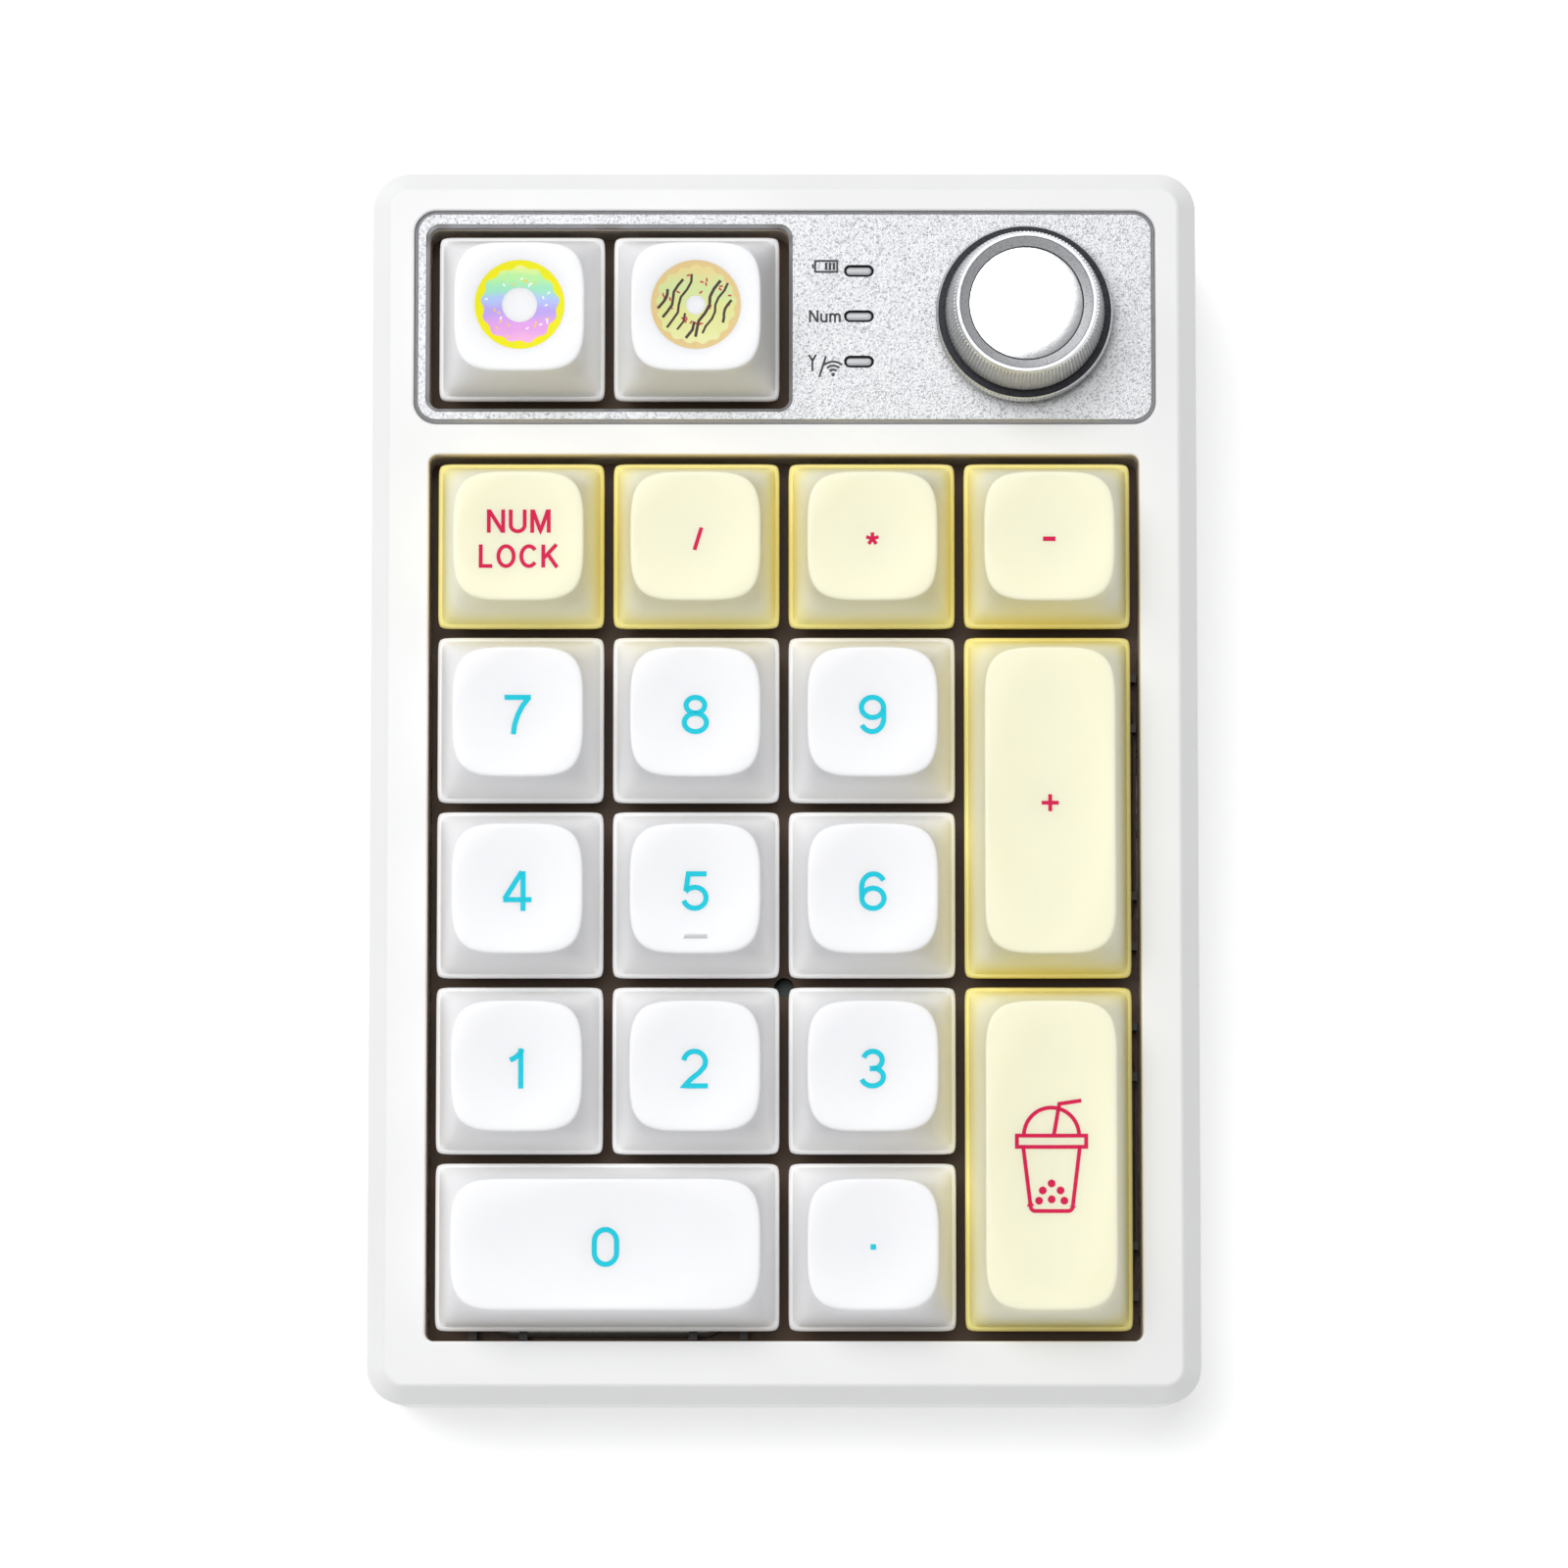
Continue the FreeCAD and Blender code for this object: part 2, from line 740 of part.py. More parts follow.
# ---------------------------------------------------------------- trim panel and indicators
def make_trim_panel():
    body = new_body("trim_panel")
    outline = Drawing(body, "trim_outline", "deck_top - trim_recess").rounded(
        "trim", "trim_width", "trim_length", "trim_corner", "trim_u", "trim_v"
    )
    pad(body, "trim_sheet", outline, "trim_thickness")
    holes = Drawing(body, "trim_hole_outlines", "deck_top - trim_recess")
    holes.rounded(
        "window", "window_width", "window_length", "window_corner", "window_u", "window_v"
    )
    holes.circle("knob", "bushing_radius + trim_hole_play", "knob_u", "knob_v")
    for number, v in enumerate(indicators):
        holes.slot(
            f"indicator_{number}",
            "indicator_length + 2 * pipe_play",
            "indicator_height + 2 * pipe_play",
            "indicator_u",
            v,
        )
    cut = pocket(body, "trim_holes", holes, "trim_thickness", upwards=True)
    top = "deck_top - trim_recess + trim_thickness"
    end_u, side_v = value("trim_width / 2 - 9"), value("window_length / 2 - 2")

    def on_rim(edge):
        middle = edge.BoundBox.Center
        return abs(middle.x - value("trim_u")) > end_u or abs(middle.y - value("trim_v")) > side_v

    def round_indicator(edge):
        away = abs(edge.BoundBox.Center.x - value("indicator_u"))
        return max(away, edge.Length) < value("indicator_length")

    rim = chamfer_at(body, "polished_edges", cut, top, "trim_chamfer", on_rim)
    chamfer_at(body, "indicator_sinks", rim, top, "indicator_sink", round_indicator)
    return body


def make_indicator_window():
    """A light pipe: its top shows in the trim panel, its foot stands over an LED."""
    body = new_body("indicator_window")
    flange_top = "deck_top - deck_skin"
    rod = Drawing(body, "pipe_outline", "pipe_bottom")
    rod.slot("pipe", "indicator_length", "indicator_height")
    pad(body, "pipe", rod, "pipe_top - pipe_bottom")
    flange = Drawing(body, "pipe_flange_outline", flange_top)
    width, length = "indicator_length + 2 * pipe_flange", "indicator_height + 2 * pipe_flange"
    flange.slot("flange", width, length)
    pad(body, "pipe_flange", flange, "pipe_flange_thickness", upwards=False)
    return body


# ---------------------------------------------------------------- plate and board
def make_switch_plate():
    body = new_body("switch_plate")
    outline = Drawing(body, "plate_outline").rounded(
        "plate", "plate_width", "plate_length", "plate_corner"
    )
    pad(body, "plate_sheet", outline, "plate_thickness", upwards=False)
    holes = Drawing(body, "switch_holes_outline")
    for name, u, v, wide in keys:
        holes.rectangle(f"key_{name}", "switch_hole", "switch_hole", u, v)
        across = "(stab_width + hole_play)"
        along = "(stab_rear - stab_front + hole_play)"
        middle = "(stab_rear + stab_front) / 2"
        for number, side in enumerate(post_sides(wide)):
            label = f"stab_{name}_{number}"
            if wide == "across":
                holes.rectangle(label, across, along, f"{u} + ({side})", f"{v} + {middle}")
            else:
                holes.rectangle(label, along, across, f"{u} - {middle}", f"{v} + ({side})")
    side = "encoder_width + 2 * hole_play"
    holes.rectangle("encoder", side, side, "knob_u", "knob_v")
    for number, v in enumerate(indicators):
        holes.rectangle(
            f"indicator_{number}",
            "indicator_length + 2 * hole_play",
            "indicator_height + 2 * hole_play",
            "indicator_u",
            v,
        )
    holes.circle("middle", "plate_hole_radius", "0", "key_field_v - key_pitch / 2")
    for number, (u, v) in enumerate(screws):
        holes.circle(f"boss_{number}", "post_radius + hole_play + shaft_end_gap", u, v)
    pocket(body, "plate_holes", holes, "plate_thickness")
    return body


def make_board():
    body = new_body("board")
    outline = Drawing(body, "board_outline", "board_top").rounded(
        "board", "board_width", "board_length", "plate_corner", "0", "board_v"
    )
    pad(body, "board_sheet", outline, "board_thickness", upwards=False)
    holes = Drawing(body, "board_holes_outline", "board_top")
    for name, u, v, _ in keys:
        holes.circle(f"key_{name}", "switch_post_radius + hole_play / 2", u, v)
    pocket(body, "board_holes", holes, "board_thickness")
    return body


def make_block(label, width, length, height, u="0", v="0", w="0"):
    """A plain moulded or packaged component: a block whose lower face is at w."""
    body = new_body(label)
    outline = Drawing(body, label + "_outline", w).rectangle("block", width, length, u, v)
    pad(body, label + "_block", outline, height)
    return body


def make_mode_housing():
    """The slide switch's fixed half, hanging under the board and open to the rear."""
    body = new_body("mode_housing")
    length = "(mode_housing_rear - mode_housing_front)"
    middle = "(mode_housing_rear + mode_housing_front) / 2"
    outline = Drawing(body, "mode_housing_outline").rectangle(
        "housing", "mode_housing_width", length, "0", middle
    )
    pad(body, "mode_housing_block", outline, "mode_housing_height", upwards=False)
    track = Drawing(body, "mode_track_outline", "-mode_housing_rear", "XZ_Plane").rectangle(
        "track",
        "mode_slider_width + 2 * mode_travel + 2 * mode_play",
        "mode_nub_height + 2 * mode_track_play",
        "0",
        "-mode_housing_height / 2",
    )
    pocket(body, "mode_track", track, f"{length} - mode_track_wall", upwards=True)
    return body


def make_mode_slider():
    body = new_body("mode_switch_slider")
    face = "-mode_housing_rear + mode_slider_sink"
    carriage = Drawing(body, "carriage_outline", face, "XZ_Plane").rectangle(
        "carriage", "mode_slider_width", "mode_nub_height", "0", "-mode_housing_height / 2"
    )
    pad(body, "carriage", carriage, "mode_slider_length")
    nub = Drawing(body, "nub_outline", "-mode_nub_rear", "XZ_Plane").rectangle(
        "nub", "mode_nub_width", "mode_nub_height", "0", "-mode_housing_height / 2"
    )
    pad(body, "nub", nub, "mode_nub_rear - mode_housing_rear + mode_nub_root")
    return body


def make_usb_socket():
    body = new_body("usb_c_socket")
    middle = "-port_height / 2"
    mouth = Drawing(body, "port_shell_outline", "-port_mouth", "XZ_Plane").rounded(
        "shell", "port_width", "port_height", "port_corner", "0", middle
    )
    pad(body, "port_shell_block", mouth, "port_length")
    inside = Drawing(body, "port_mouth_outline", "-port_mouth", "XZ_Plane").rounded(
        "mouth",
        "port_width - 2 * port_shell",
        "port_height - 2 * port_shell",
        "port_inner_corner",
        "0",
        middle,
    )
    pocket(body, "port_mouth", inside, "port_depth", upwards=True)
    tongue = Drawing(body, "tongue_outline", "-port_mouth + port_depth", "XZ_Plane").rectangle(
        "tongue", "port_tongue_width", "port_tongue_height", "0", middle
    )
    pad(body, "tongue", tongue, "port_tongue_length", upwards=False)
    return body


# ---------------------------------------------------------------- key switch
def make_lower_housing():
    body = new_body("lower_housing")
    flange = Drawing(body, "flange_outline")
    flange.rounded("flange", "switch_flange", "switch_flange", "switch_corner")
    pad(body, "flange", flange, "switch_flange_height")
    box = Drawing(body, "lower_box_outline").rectangle("box", "switch_body", "switch_body")
    pad(body, "lower_box", box, "-board_top", upwards=False)
    post = Drawing(body, "post_outline", "board_top").circle("post", "switch_post_radius")
    pad(body, "post", post, "switch_post_length", upwards=False)
    room = Drawing(body, "lower_room_outline", "switch_flange_height")
    room.rectangle("room", "switch_cavity", "switch_cavity")
    pocket(body, "lower_room", room, "switch_flange_height - board_top - switch_floor")
    bore = Drawing(body, "guide_bore_outline", "board_top + switch_floor")
    bore.circle("bore", "guide_bore_radius")
    pocket(body, "guide_bore", bore, "switch_floor + switch_post_length - guide_bore_end")
    return body


def make_upper_housing():
    body = new_body("upper_housing")
    base = Drawing(body, "cover_base_outline", "switch_flange_height")
    base.rounded("base", "cover_base", "cover_base", "switch_corner")
    top = Drawing(body, "cover_top_outline", "switch_flange_height + cover_height")
    top.rounded("top", "cover_top", "cover_top", "switch_corner")
    shell = body.newObject("PartDesign::AdditiveLoft", "cover_shell")
    shell.Profile = base.sketch
    shell.Sections = [top.sketch]
    room = Drawing(body, "cover_room_outline", "switch_flange_height")
    room.rectangle("room", "switch_cavity", "switch_cavity")
    pocket(body, "cover_room", room, "cover_height - cover_roof", upwards=True)
    hole = Drawing(body, "cover_hole_outline", "switch_flange_height + cover_height")
    hole.rectangle("hole", "cover_hole_width", "cover_hole_length")
    pocket(body, "cover_hole", hole, "cover_roof")
    return body


def add_cross(body):
    """The cross that a keycap presses onto."""
    for number, (width, length) in enumerate((("cross_span", "cross_arm"), ("cross_arm", "cross_span"))):
        arm = Drawing(body, f"cross_outline_{number}", "stem_shoulder")
        arm.rectangle("arm", width, length)
        pad(body, f"cross_{number}", arm, "cross_height")


def make_stem():
    body = new_body("stem")
    collar = Drawing(body, "collar_outline", "stem_collar_bottom")
    collar.rectangle("collar", "stem_collar_width", "stem_collar_length")
    pad(body, "collar", collar, "stem_collar_top - stem_collar_bottom")
    neck = Drawing(body, "neck_outline", "stem_collar_top")
    neck.rectangle("neck", "stem_width", "stem_length")
    pad(body, "neck", neck, "stem_shoulder - stem_collar_top")
    add_cross(body)
    guide = Drawing(body, "guide_outline", "stem_collar_bottom").circle("guide", "guide_radius")
    pad(body, "guide", guide, "stem_collar_bottom - guide_bottom", upwards=False)
    return body


def make_spring():
    """A return spring: a round section swept along half turns, each a flat arc tilted to climb."""
    floor = "(board_top + switch_floor + spring_wire + spring_gap)"
    rise = value(f"stem_collar_bottom - spring_gap - spring_wire - {floor}")
    radius = value("spring_radius")
    halves = int(2 * value("spring_turns"))
    arcs = []
    for half in range(halves):
        side = 1 if half % 2 == 0 else -1
        start = Vector(side * radius, 0, rise * half / halves)
        end = Vector(-side * radius, 0, rise * (half + 1) / halves)
        top = (start + end) / 2 + Vector(0, side * (end - start).Length / 2, 0)
        arcs.append(Part.Arc(start, top, end).toShape())
    line = doc.addObject("Part::Feature", "spring_line")
    line.Shape = Part.Wire(arcs)
    section = doc.addObject("Part::Circle", "spring_section")
    section.setExpression("Radius", bound("spring_wire"))
    section.Placement = Placement(Vector(radius, 0, 0), Rotation(Vector(1, 0, 0), 90))
    spring = doc.addObject("Part::Sweep", "spring")
    spring.Sections = [section]
    spring.Spine = (line, [f"Edge{number}" for number in range(1, halves + 1)])
    spring.Solid = True
    spring.Frenet = False
    return spring, floor


# ---------------------------------------------------------------- stabiliser of a wide key
def make_stab_housing():
    body = new_body("stab_housing")
    length = "(stab_rear - stab_front)"
    outline = Drawing(body, "stab_box_outline", "stab_bottom").rectangle(
        "box", "stab_width", length, "0", "(stab_rear + stab_front) / 2"
    )
    pad(body, "stab_box", outline, "stab_top - stab_bottom")
    clips = Drawing(body, "clip_outline", "clip_bottom").rectangle(
        "clips", "stab_width", "-clip_front", "0", "clip_front / 2"
    )
    pad(body, "clips", clips, "clip_top - clip_bottom")
    room = Drawing(body, "stab_room_outline", "stab_top").rectangle(
        "room",
        "stab_width - 2 * stab_wall",
        "stab_cavity_rear - clip_front + cut_overrun",
        "0",
        "(stab_cavity_rear + clip_front - cut_overrun) / 2",
    )
    pocket(body, "stab_room", room, "stab_top - stab_bottom - stab_floor")
    bore = Drawing(body, "wire_bore_outline", "0", "YZ_Plane").circle(
        "bore", "wire_bore", "wire_v", "wire_w"
    )
    cut_across(body, "wire_bore", bore, "2 * stab_width")
    return body


def make_insert():
    """The stabiliser's own stem: a hollow block that the wire's end lifts."""
    body = new_body("stab_insert")
    outline = Drawing(body, "insert_outline", "insert_bottom").rectangle(
        "insert", "insert_width", "insert_length"
    )
    pad(body, "insert", outline, "stem_shoulder - insert_bottom")
    rest_height = "(wire_w + key_travel / 2)"
    front = "-insert_length / 2 - cut_overrun"
    slot = Drawing(body, "insert_slot_outline", f"{rest_height} + insert_slot_height / 2")
    slot.rectangle(
        "slot",
        "insert_slot_width",
        f"insert_slot_rear - ({front})",
        "0",
        f"(insert_slot_rear + ({front})) / 2",
    )
    pocket(body, "insert_slot", slot, "insert_slot_height")
    add_cross(body)
    return body


def make_wire():
    """A bent wire in its own flat plane: the bar along u on the origin, both arms to the rear."""
    body = new_body("stabiliser_wire")
    path = Drawing(body, "wire_path")
    half, bend, arm = value("wide_key_post"), value("wire_bend"), value("wire_arm")
    left = path.line((-half, arm), (-half, bend))
    first = path.arc((-half + bend, bend), bend, 180, 270)
    bar = path.line((-half + bend, 0), (half - bend, 0))
    last = path.arc((half - bend, bend), bend, 270, 360)
    right = path.line((half, bend), (half, arm))
    path.rule("Tangent", left, 2, first, 1)
    path.rule("Tangent", first, 2, bar, 1)
    path.rule("Tangent", bar, 2, last, 1)
    path.rule("Tangent", last, 2, right, 1)
    path.rule("Horizontal", bar)
    path.rule("Vertical", left)
    path.rule("Vertical", right)
    path.rule("Equal", first, last)
    path.size("bend", "wire_bend", "Radius", first)
    path.size("right", "wide_key_post", "DistanceX", -1, 1, right, 1)
    path.size("left", "-wide_key_post", "DistanceX", -1, 1, left, 1)
    path.size("arm_left", "wire_arm", "DistanceY", -1, 1, left, 1)
    path.size("arm_right", "wire_arm", "DistanceY", -1, 1, right, 2)
    path.size("bar_v", "0", "DistanceY", -1, 1, bar, 1)
    section = Drawing(body, "wire_section", "-wire_arm", "XZ_Plane").circle(
        "wire", "wire_radius", "-wide_key_post", "0"
    )
    bent = body.newObject("PartDesign::AdditivePipe", "bent_wire")
    bent.Profile = section.sketch
    bent.Spine = (path.sketch, [f"Edge{number}" for number in range(1, 6)])
    return body


# ---------------------------------------------------------------- keycaps
def make_keycap(label, wide):
    """A sculpted cap with flared flanks, a shallow dish, a hollow inside and its sockets."""
    body = new_body(label)
    extra = "key_pitch" if wide else "0"

    def outline(name, height, side, corner):
        drawing = Drawing(body, name, f"cap_bottom + {height}")
        return drawing.rounded("cap", f"{side} + {extra}", side, corner)

    lip = outline("lip_outline", "0", "cap_base", "cap_base_corner")
    pad(body, "lip", lip, "cap_lip")
    # share of the flank's height against share of its width that is left: steep at the top
    flare = ((0, 1), (0.22, 0.68), (0.5, 0.33), (0.85, 0.06), (1, 0))
    sections = []
    for number, (up, out) in enumerate(flare):
        height = f"(cap_lip + {up} * (cap_height - cap_lip))"
        side = f"(cap_top + {out} * (cap_base - cap_top))"
        corner = f"(cap_top_corner + {out} * (cap_base_corner - cap_top_corner))"
        sections.append(outline(f"flank_{number}", height, side, corner))
    flanks = body.newObject("PartDesign::AdditiveLoft", "flanks")
    flanks.Profile = sections[0].sketch
    flanks.Sections = [s.sketch for s in sections[1:]]
    inner = [
        outline("room_lower", "0", "cap_inner_base", "cap_base_corner"),
        outline("room_upper", "cap_inner_height", "cap_inner_top", "cap_base_corner"),
    ]
    room = body.newObject("PartDesign::SubtractiveLoft", "room")
    room.Profile = inner[0].sketch
    room.Sections = [inner[1].sketch]
    boss_bottom = "(stem_shoulder + cap_boss_gap)"
    spots = ["0"] + post_sides(wide)
    bosses = Drawing(body, "boss_outline", boss_bottom)
    for number, u in enumerate(spots):
        bosses.circle(f"boss_{number}", "cap_boss_radius", u)
    pad(body, "bosses", bosses, f"cap_bottom + cap_inner_height + cap_boss_overlap - {boss_bottom}")
    span, thin = "(cross_span + 2 * cap_socket_play)", "(cross_arm + 2 * cap_socket_play)"
    for number, (width, length) in enumerate(((span, thin), (thin, span))):
        sockets = Drawing(body, f"socket_outline_{number}", boss_bottom)
        for place, u in enumerate(spots):
            sockets.rectangle(f"socket_{place}", width, length, u)
        pocket(body, f"sockets_{number}", sockets, "cross_height", upwards=True)
    dish = body.newObject("PartDesign::SubtractiveEllipsoid", "dish")
    plane = [f for f in body.Origin.OriginFeatures if f.Role == "XY_Plane"][0]
    dish.AttachmentSupport = (plane, [""])
    dish.MapMode = "FlatFace"
    lowest = "(cap_bottom + cap_height - dish_depth)"
    dish.setExpression("AttachmentOffset.Base.z", bound(f"{lowest} + dish_rise"))
    dish.setExpression("Radius1", bound("dish_rise"))
    # the ellipsoid meets the top edge where it has risen by the dish's depth
    share = "sqrt(1 - (1 - dish_depth / dish_rise) ^ 2)"
    dish.setExpression("Radius2", bound(f"(cap_top + {extra}) / 2 / {share}"))
    dish.setExpression("Radius3", bound(f"cap_top / 2 / {share}"))
    return body


# ---------------------------------------------------------------- knob and encoder
def revolve(body, name, drawing):
    feature = body.newObject("PartDesign::Revolution", name)
    feature.Profile = drawing.sketch
    axis = [f for f in body.Origin.OriginFeatures if f.Role == "Z_Axis"][0]
    feature.ReferenceAxis = (axis, [""])
    return feature


def make_knob():
    body = new_body("knob")
    outline = [
        ("0", "0"),
        ("knob_flange_radius", "0"),
        ("knob_flange_radius", "knob_flange_height"),
        ("knob_groove_radius", "knob_flange_height"),
        ("knob_groove_radius", "knob_groove_top"),
        ("knob_body_radius", "knob_groove_top"),
        ("knob_shoulder_radius", "knob_shoulder_height"),
        ("knob_rim_radius", "knob_height"),
        ("knob_rim_inner_radius", "knob_height"),
        ("knob_dish_radius", "knob_dish_height"),
        ("0", "knob_dish_height"),
    ]
    section = Drawing(body, "knob_outline", "0", "XZ_Plane").polygon("knob", outline)
    revolve(body, "turned_knob", section)
    bore = Drawing(body, "knob_bore_outline").circle("bore", "shaft_radius + shaft_fit")
    pocket(body, "knob_bore", bore, "knob_bore_depth", upwards=True)
    return body


def make_flatted(body, name, height, radius, flat, length, upwards, cut):
    """A round with one flat, padded or cut: the flat keys the rotor to the shaft."""
    r, f = value(radius), value(flat)
    turn = math.degrees(math.acos(f / r))
    drawing = Drawing(body, name + "_outline", height)
    round_part = drawing.arc((0, 0), r, turn, 360 - turn)
    end = math.sqrt(r * r - f * f)
    chord = drawing.line((f, -end), (f, end))
    drawing.rule("Coincident", round_part, 2, chord, 1)
    drawing.rule("Coincident", chord, 2, round_part, 1)
    drawing.rule("Coincident", round_part, 3, -1, 1)
    drawing.rule("Vertical", chord)
    drawing.size("radius", radius, "Radius", round_part)
    drawing.size("flat", flat, "DistanceX", -1, 1, chord, 1)
    if cut:
        return pocket(body, name, drawing, length, upwards)
    return pad(body, name, drawing, length, upwards)


def make_shaft():
    """Local frame as the deck's w, on the knob's axis."""
    body = new_body("encoder_shaft")
    rod = Drawing(body, "shaft_outline", "shaft_shoulder").circle("rod", "shaft_radius")
    pad(body, "shaft_rod", rod, "knob_bottom + knob_bore_depth - shaft_end_gap - shaft_shoulder")
    make_flatted(
        body, "stub", "shaft_shoulder", "stub_radius", "stub_flat",
        "shaft_shoulder - stub_bottom", False, False,
    )
    return body


def make_rotor():
    body = new_body("encoder_rotor")
    disc = Drawing(body, "rotor_outline", "rotor_bottom").circle("disc", "rotor_radius")
    pad(body, "rotor_disc", disc, "rotor_thickness")
    make_flatted(
        body, "rotor_bore", "rotor_bottom", "stub_radius + stub_play", "stub_flat + stub_play",
        "rotor_thickness", True, True,
    )
    return body


def make_encoder_body():
    body = new_body("encoder_body")
    box = Drawing(body, "encoder_box_outline", "board_top")
    box.rectangle("box", "encoder_width", "encoder_width")
    pad(body, "encoder_box", box, "encoder_height")
    top = "(board_top + encoder_height)"
    neck = Drawing(body, "bushing_outline", top).circle("bushing", "bushing_radius")
    pad(body, "bushing", neck, f"bushing_top - {top}")
    bore = Drawing(body, "bushing_bore_outline", "bushing_top")
    bore.circle("bore", "shaft_radius + bushing_play")
    pocket(body, "bushing_bore", bore, f"bushing_top - {top} + encoder_roof")
    room = Drawing(body, "encoder_room_outline", f"{top} - encoder_roof")
    room.circle("room", "encoder_cavity_radius")
    pocket(body, "encoder_room", room, "encoder_height - encoder_roof - encoder_floor")
    return body


# ---------------------------------------------------------------- assembly
keep(make_top_case())
keep(make_bottom_case())
keep(make_trim_panel())
keep(make_switch_plate())

window = make_indicator_window()
keep(group("indicator_windows", [(window, at("indicator_u", v)) for v in indicators]))

foot = make_foot()
foot_shift = deck.Base.y
foot_places = []
for u, v in feet:
    y = foot_shift + value(f"({v}) + base_depth * sin(typing_angle * 1 deg)")
    foot_places.append((foot, Placement(Vector(value(u), y, 0), Rotation())))
keep(group("rubber_feet", foot_places), upright)
screw = make_screw()
keep(group("case_screws", [(screw, at(u, v, "parting - screw_seat")) for u, v in screws]))

socket = make_block("switch_socket", "socket_width", "socket_length", "socket_height", "socket_u", "socket_v")
led = make_block("indicator_led", "led_length", "led_width", "led_height")
chip = make_block("controller", "chip_side", "chip_side", "chip_height")
header = make_block("battery_header", "header_width", "header_length", "header_height")
under_board = "board_top - board_thickness"
board_pieces = [(make_board(), Placement())]
board_pieces += [(socket, at(u, v, f"{under_board} - socket_height")) for _, u, v, _ in keys]
board_pieces += [(led, at("indicator_u", v, "board_top")) for v in indicators]
board_pieces.append((chip, at("knob_u", "knob_v", f"{under_board} - chip_height")))
board_pieces.append((header, at("0", "knob_v - header_offset", f"{under_board} - header_height")))
board_pieces.append((make_mode_housing(), at("mode_u", "0", under_board)))
keep(group("circuit_board", board_pieces))
keep(make_usb_socket(), deck * at("0", "0", under_board))
keep(make_mode_slider(), deck * at("mode_u", "0", under_board))
battery = make_block("battery_pack", "battery_width", "battery_length", "battery_thickness")
battery_floor = value(f"{foot_stand} + case_wall + battery_gap")
keep(battery, Placement(Vector(0, value("battery_y"), battery_floor), Rotation()))

lower = make_lower_housing()
upper = make_upper_housing()
keep(group("switch_lower_housings", [(lower, key_place(key)) for key in keys]))
keep(group("switch_upper_housings", [(upper, key_place(key)) for key in keys]))
spring, spring_floor = make_spring()
spring_lift = Placement(Vector(0, 0, value(spring_floor)), Rotation())
keep(group("switch_springs", [(spring, key_place(key) * spring_lift) for key in keys]))

stab = make_stab_housing()
wide_keys = [key for key in keys if key[3]]
stab_places = [
    key_place(key) * at(side, "0") for key in wide_keys for side in post_sides(key[3])
]
keep(group("stabiliser_housings", [(stab, place) for place in stab_places]))

stem = make_stem()
insert = make_insert()
wire = make_wire()
caps = {False: make_keycap("keycap_single", None), True: make_keycap("keycap_double", "across")}
lean = math.degrees(math.asin(value("key_travel / 2 / wire_arm")))
for key in keys:
    name, _, _, wide = key
    place = key_place(key)
    cap = keep(clone(f"keycap_{name}", caps[bool(wide)]), deck * place)
    if name == "5":
        root = "cap_bottom + cap_height - dish_depth - homing_bar_root"
        bar = Drawing(cap, "homing_bar_outline", root)
        bar.rectangle("bar", "homing_bar_length", "homing_bar_width", "0", "homing_bar_v")
        pad(cap, "homing_bar", bar, "homing_bar_root + homing_bar_dish + homing_bar_rise")
    moving = [(stem, place)]
    moving += [(insert, place * at(side, "0")) for side in post_sides(wide)]
    keep(group(f"switch_stem_{name}", moving))
    if wide:
        pivot = at("0", "wire_v", "wire_w", Rotation(Vector(1, 0, 0), lean))
        keep(clone(f"stabiliser_wire_{name}", wire), deck * place * pivot)

knob_axis = at("knob_u", "knob_v")
keep(make_knob(), deck * at("knob_u", "knob_v", "knob_bottom"))
keep(make_shaft(), deck * knob_axis)
keep(make_rotor(), deck * knob_axis)
keep(make_encoder_body(), deck * knob_axis)

# ---------------------------------------------------------------- check and write
doc.recompute()
faults = [item.Label for item in doc.Objects if {"Invalid", "Error"} & set(item.State)]
faults += [item.Label for item in nodes if item.Shape.isNull() or not item.Shape.isValid()]
if faults:
    raise SystemExit("failed: " + ", ".join(sorted(set(faults))))
for item in nodes:
    item.Shape.exportStep(f"parts/{item.Label}.step")
whole = Part.makeCompound([item.Shape for item in nodes]).BoundBox
low = [round(edge, 2) for edge in (whole.XMin, whole.YMin, whole.ZMin)]
high = [round(edge, 2) for edge in (whole.XMax, whole.YMax, whole.ZMax)]
print(len(nodes), "nodes from", low, "to", high)
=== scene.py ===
# A mechanical numeric keypad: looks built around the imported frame.
# Shapes are in millimetres in the deck's own frame: u to the right, v to the rear,
# w along the deck's normal from the switch plate's top face.
import json
import math
import random

import bmesh
import bpy
import numpy as np
from mathutils import Matrix, Vector


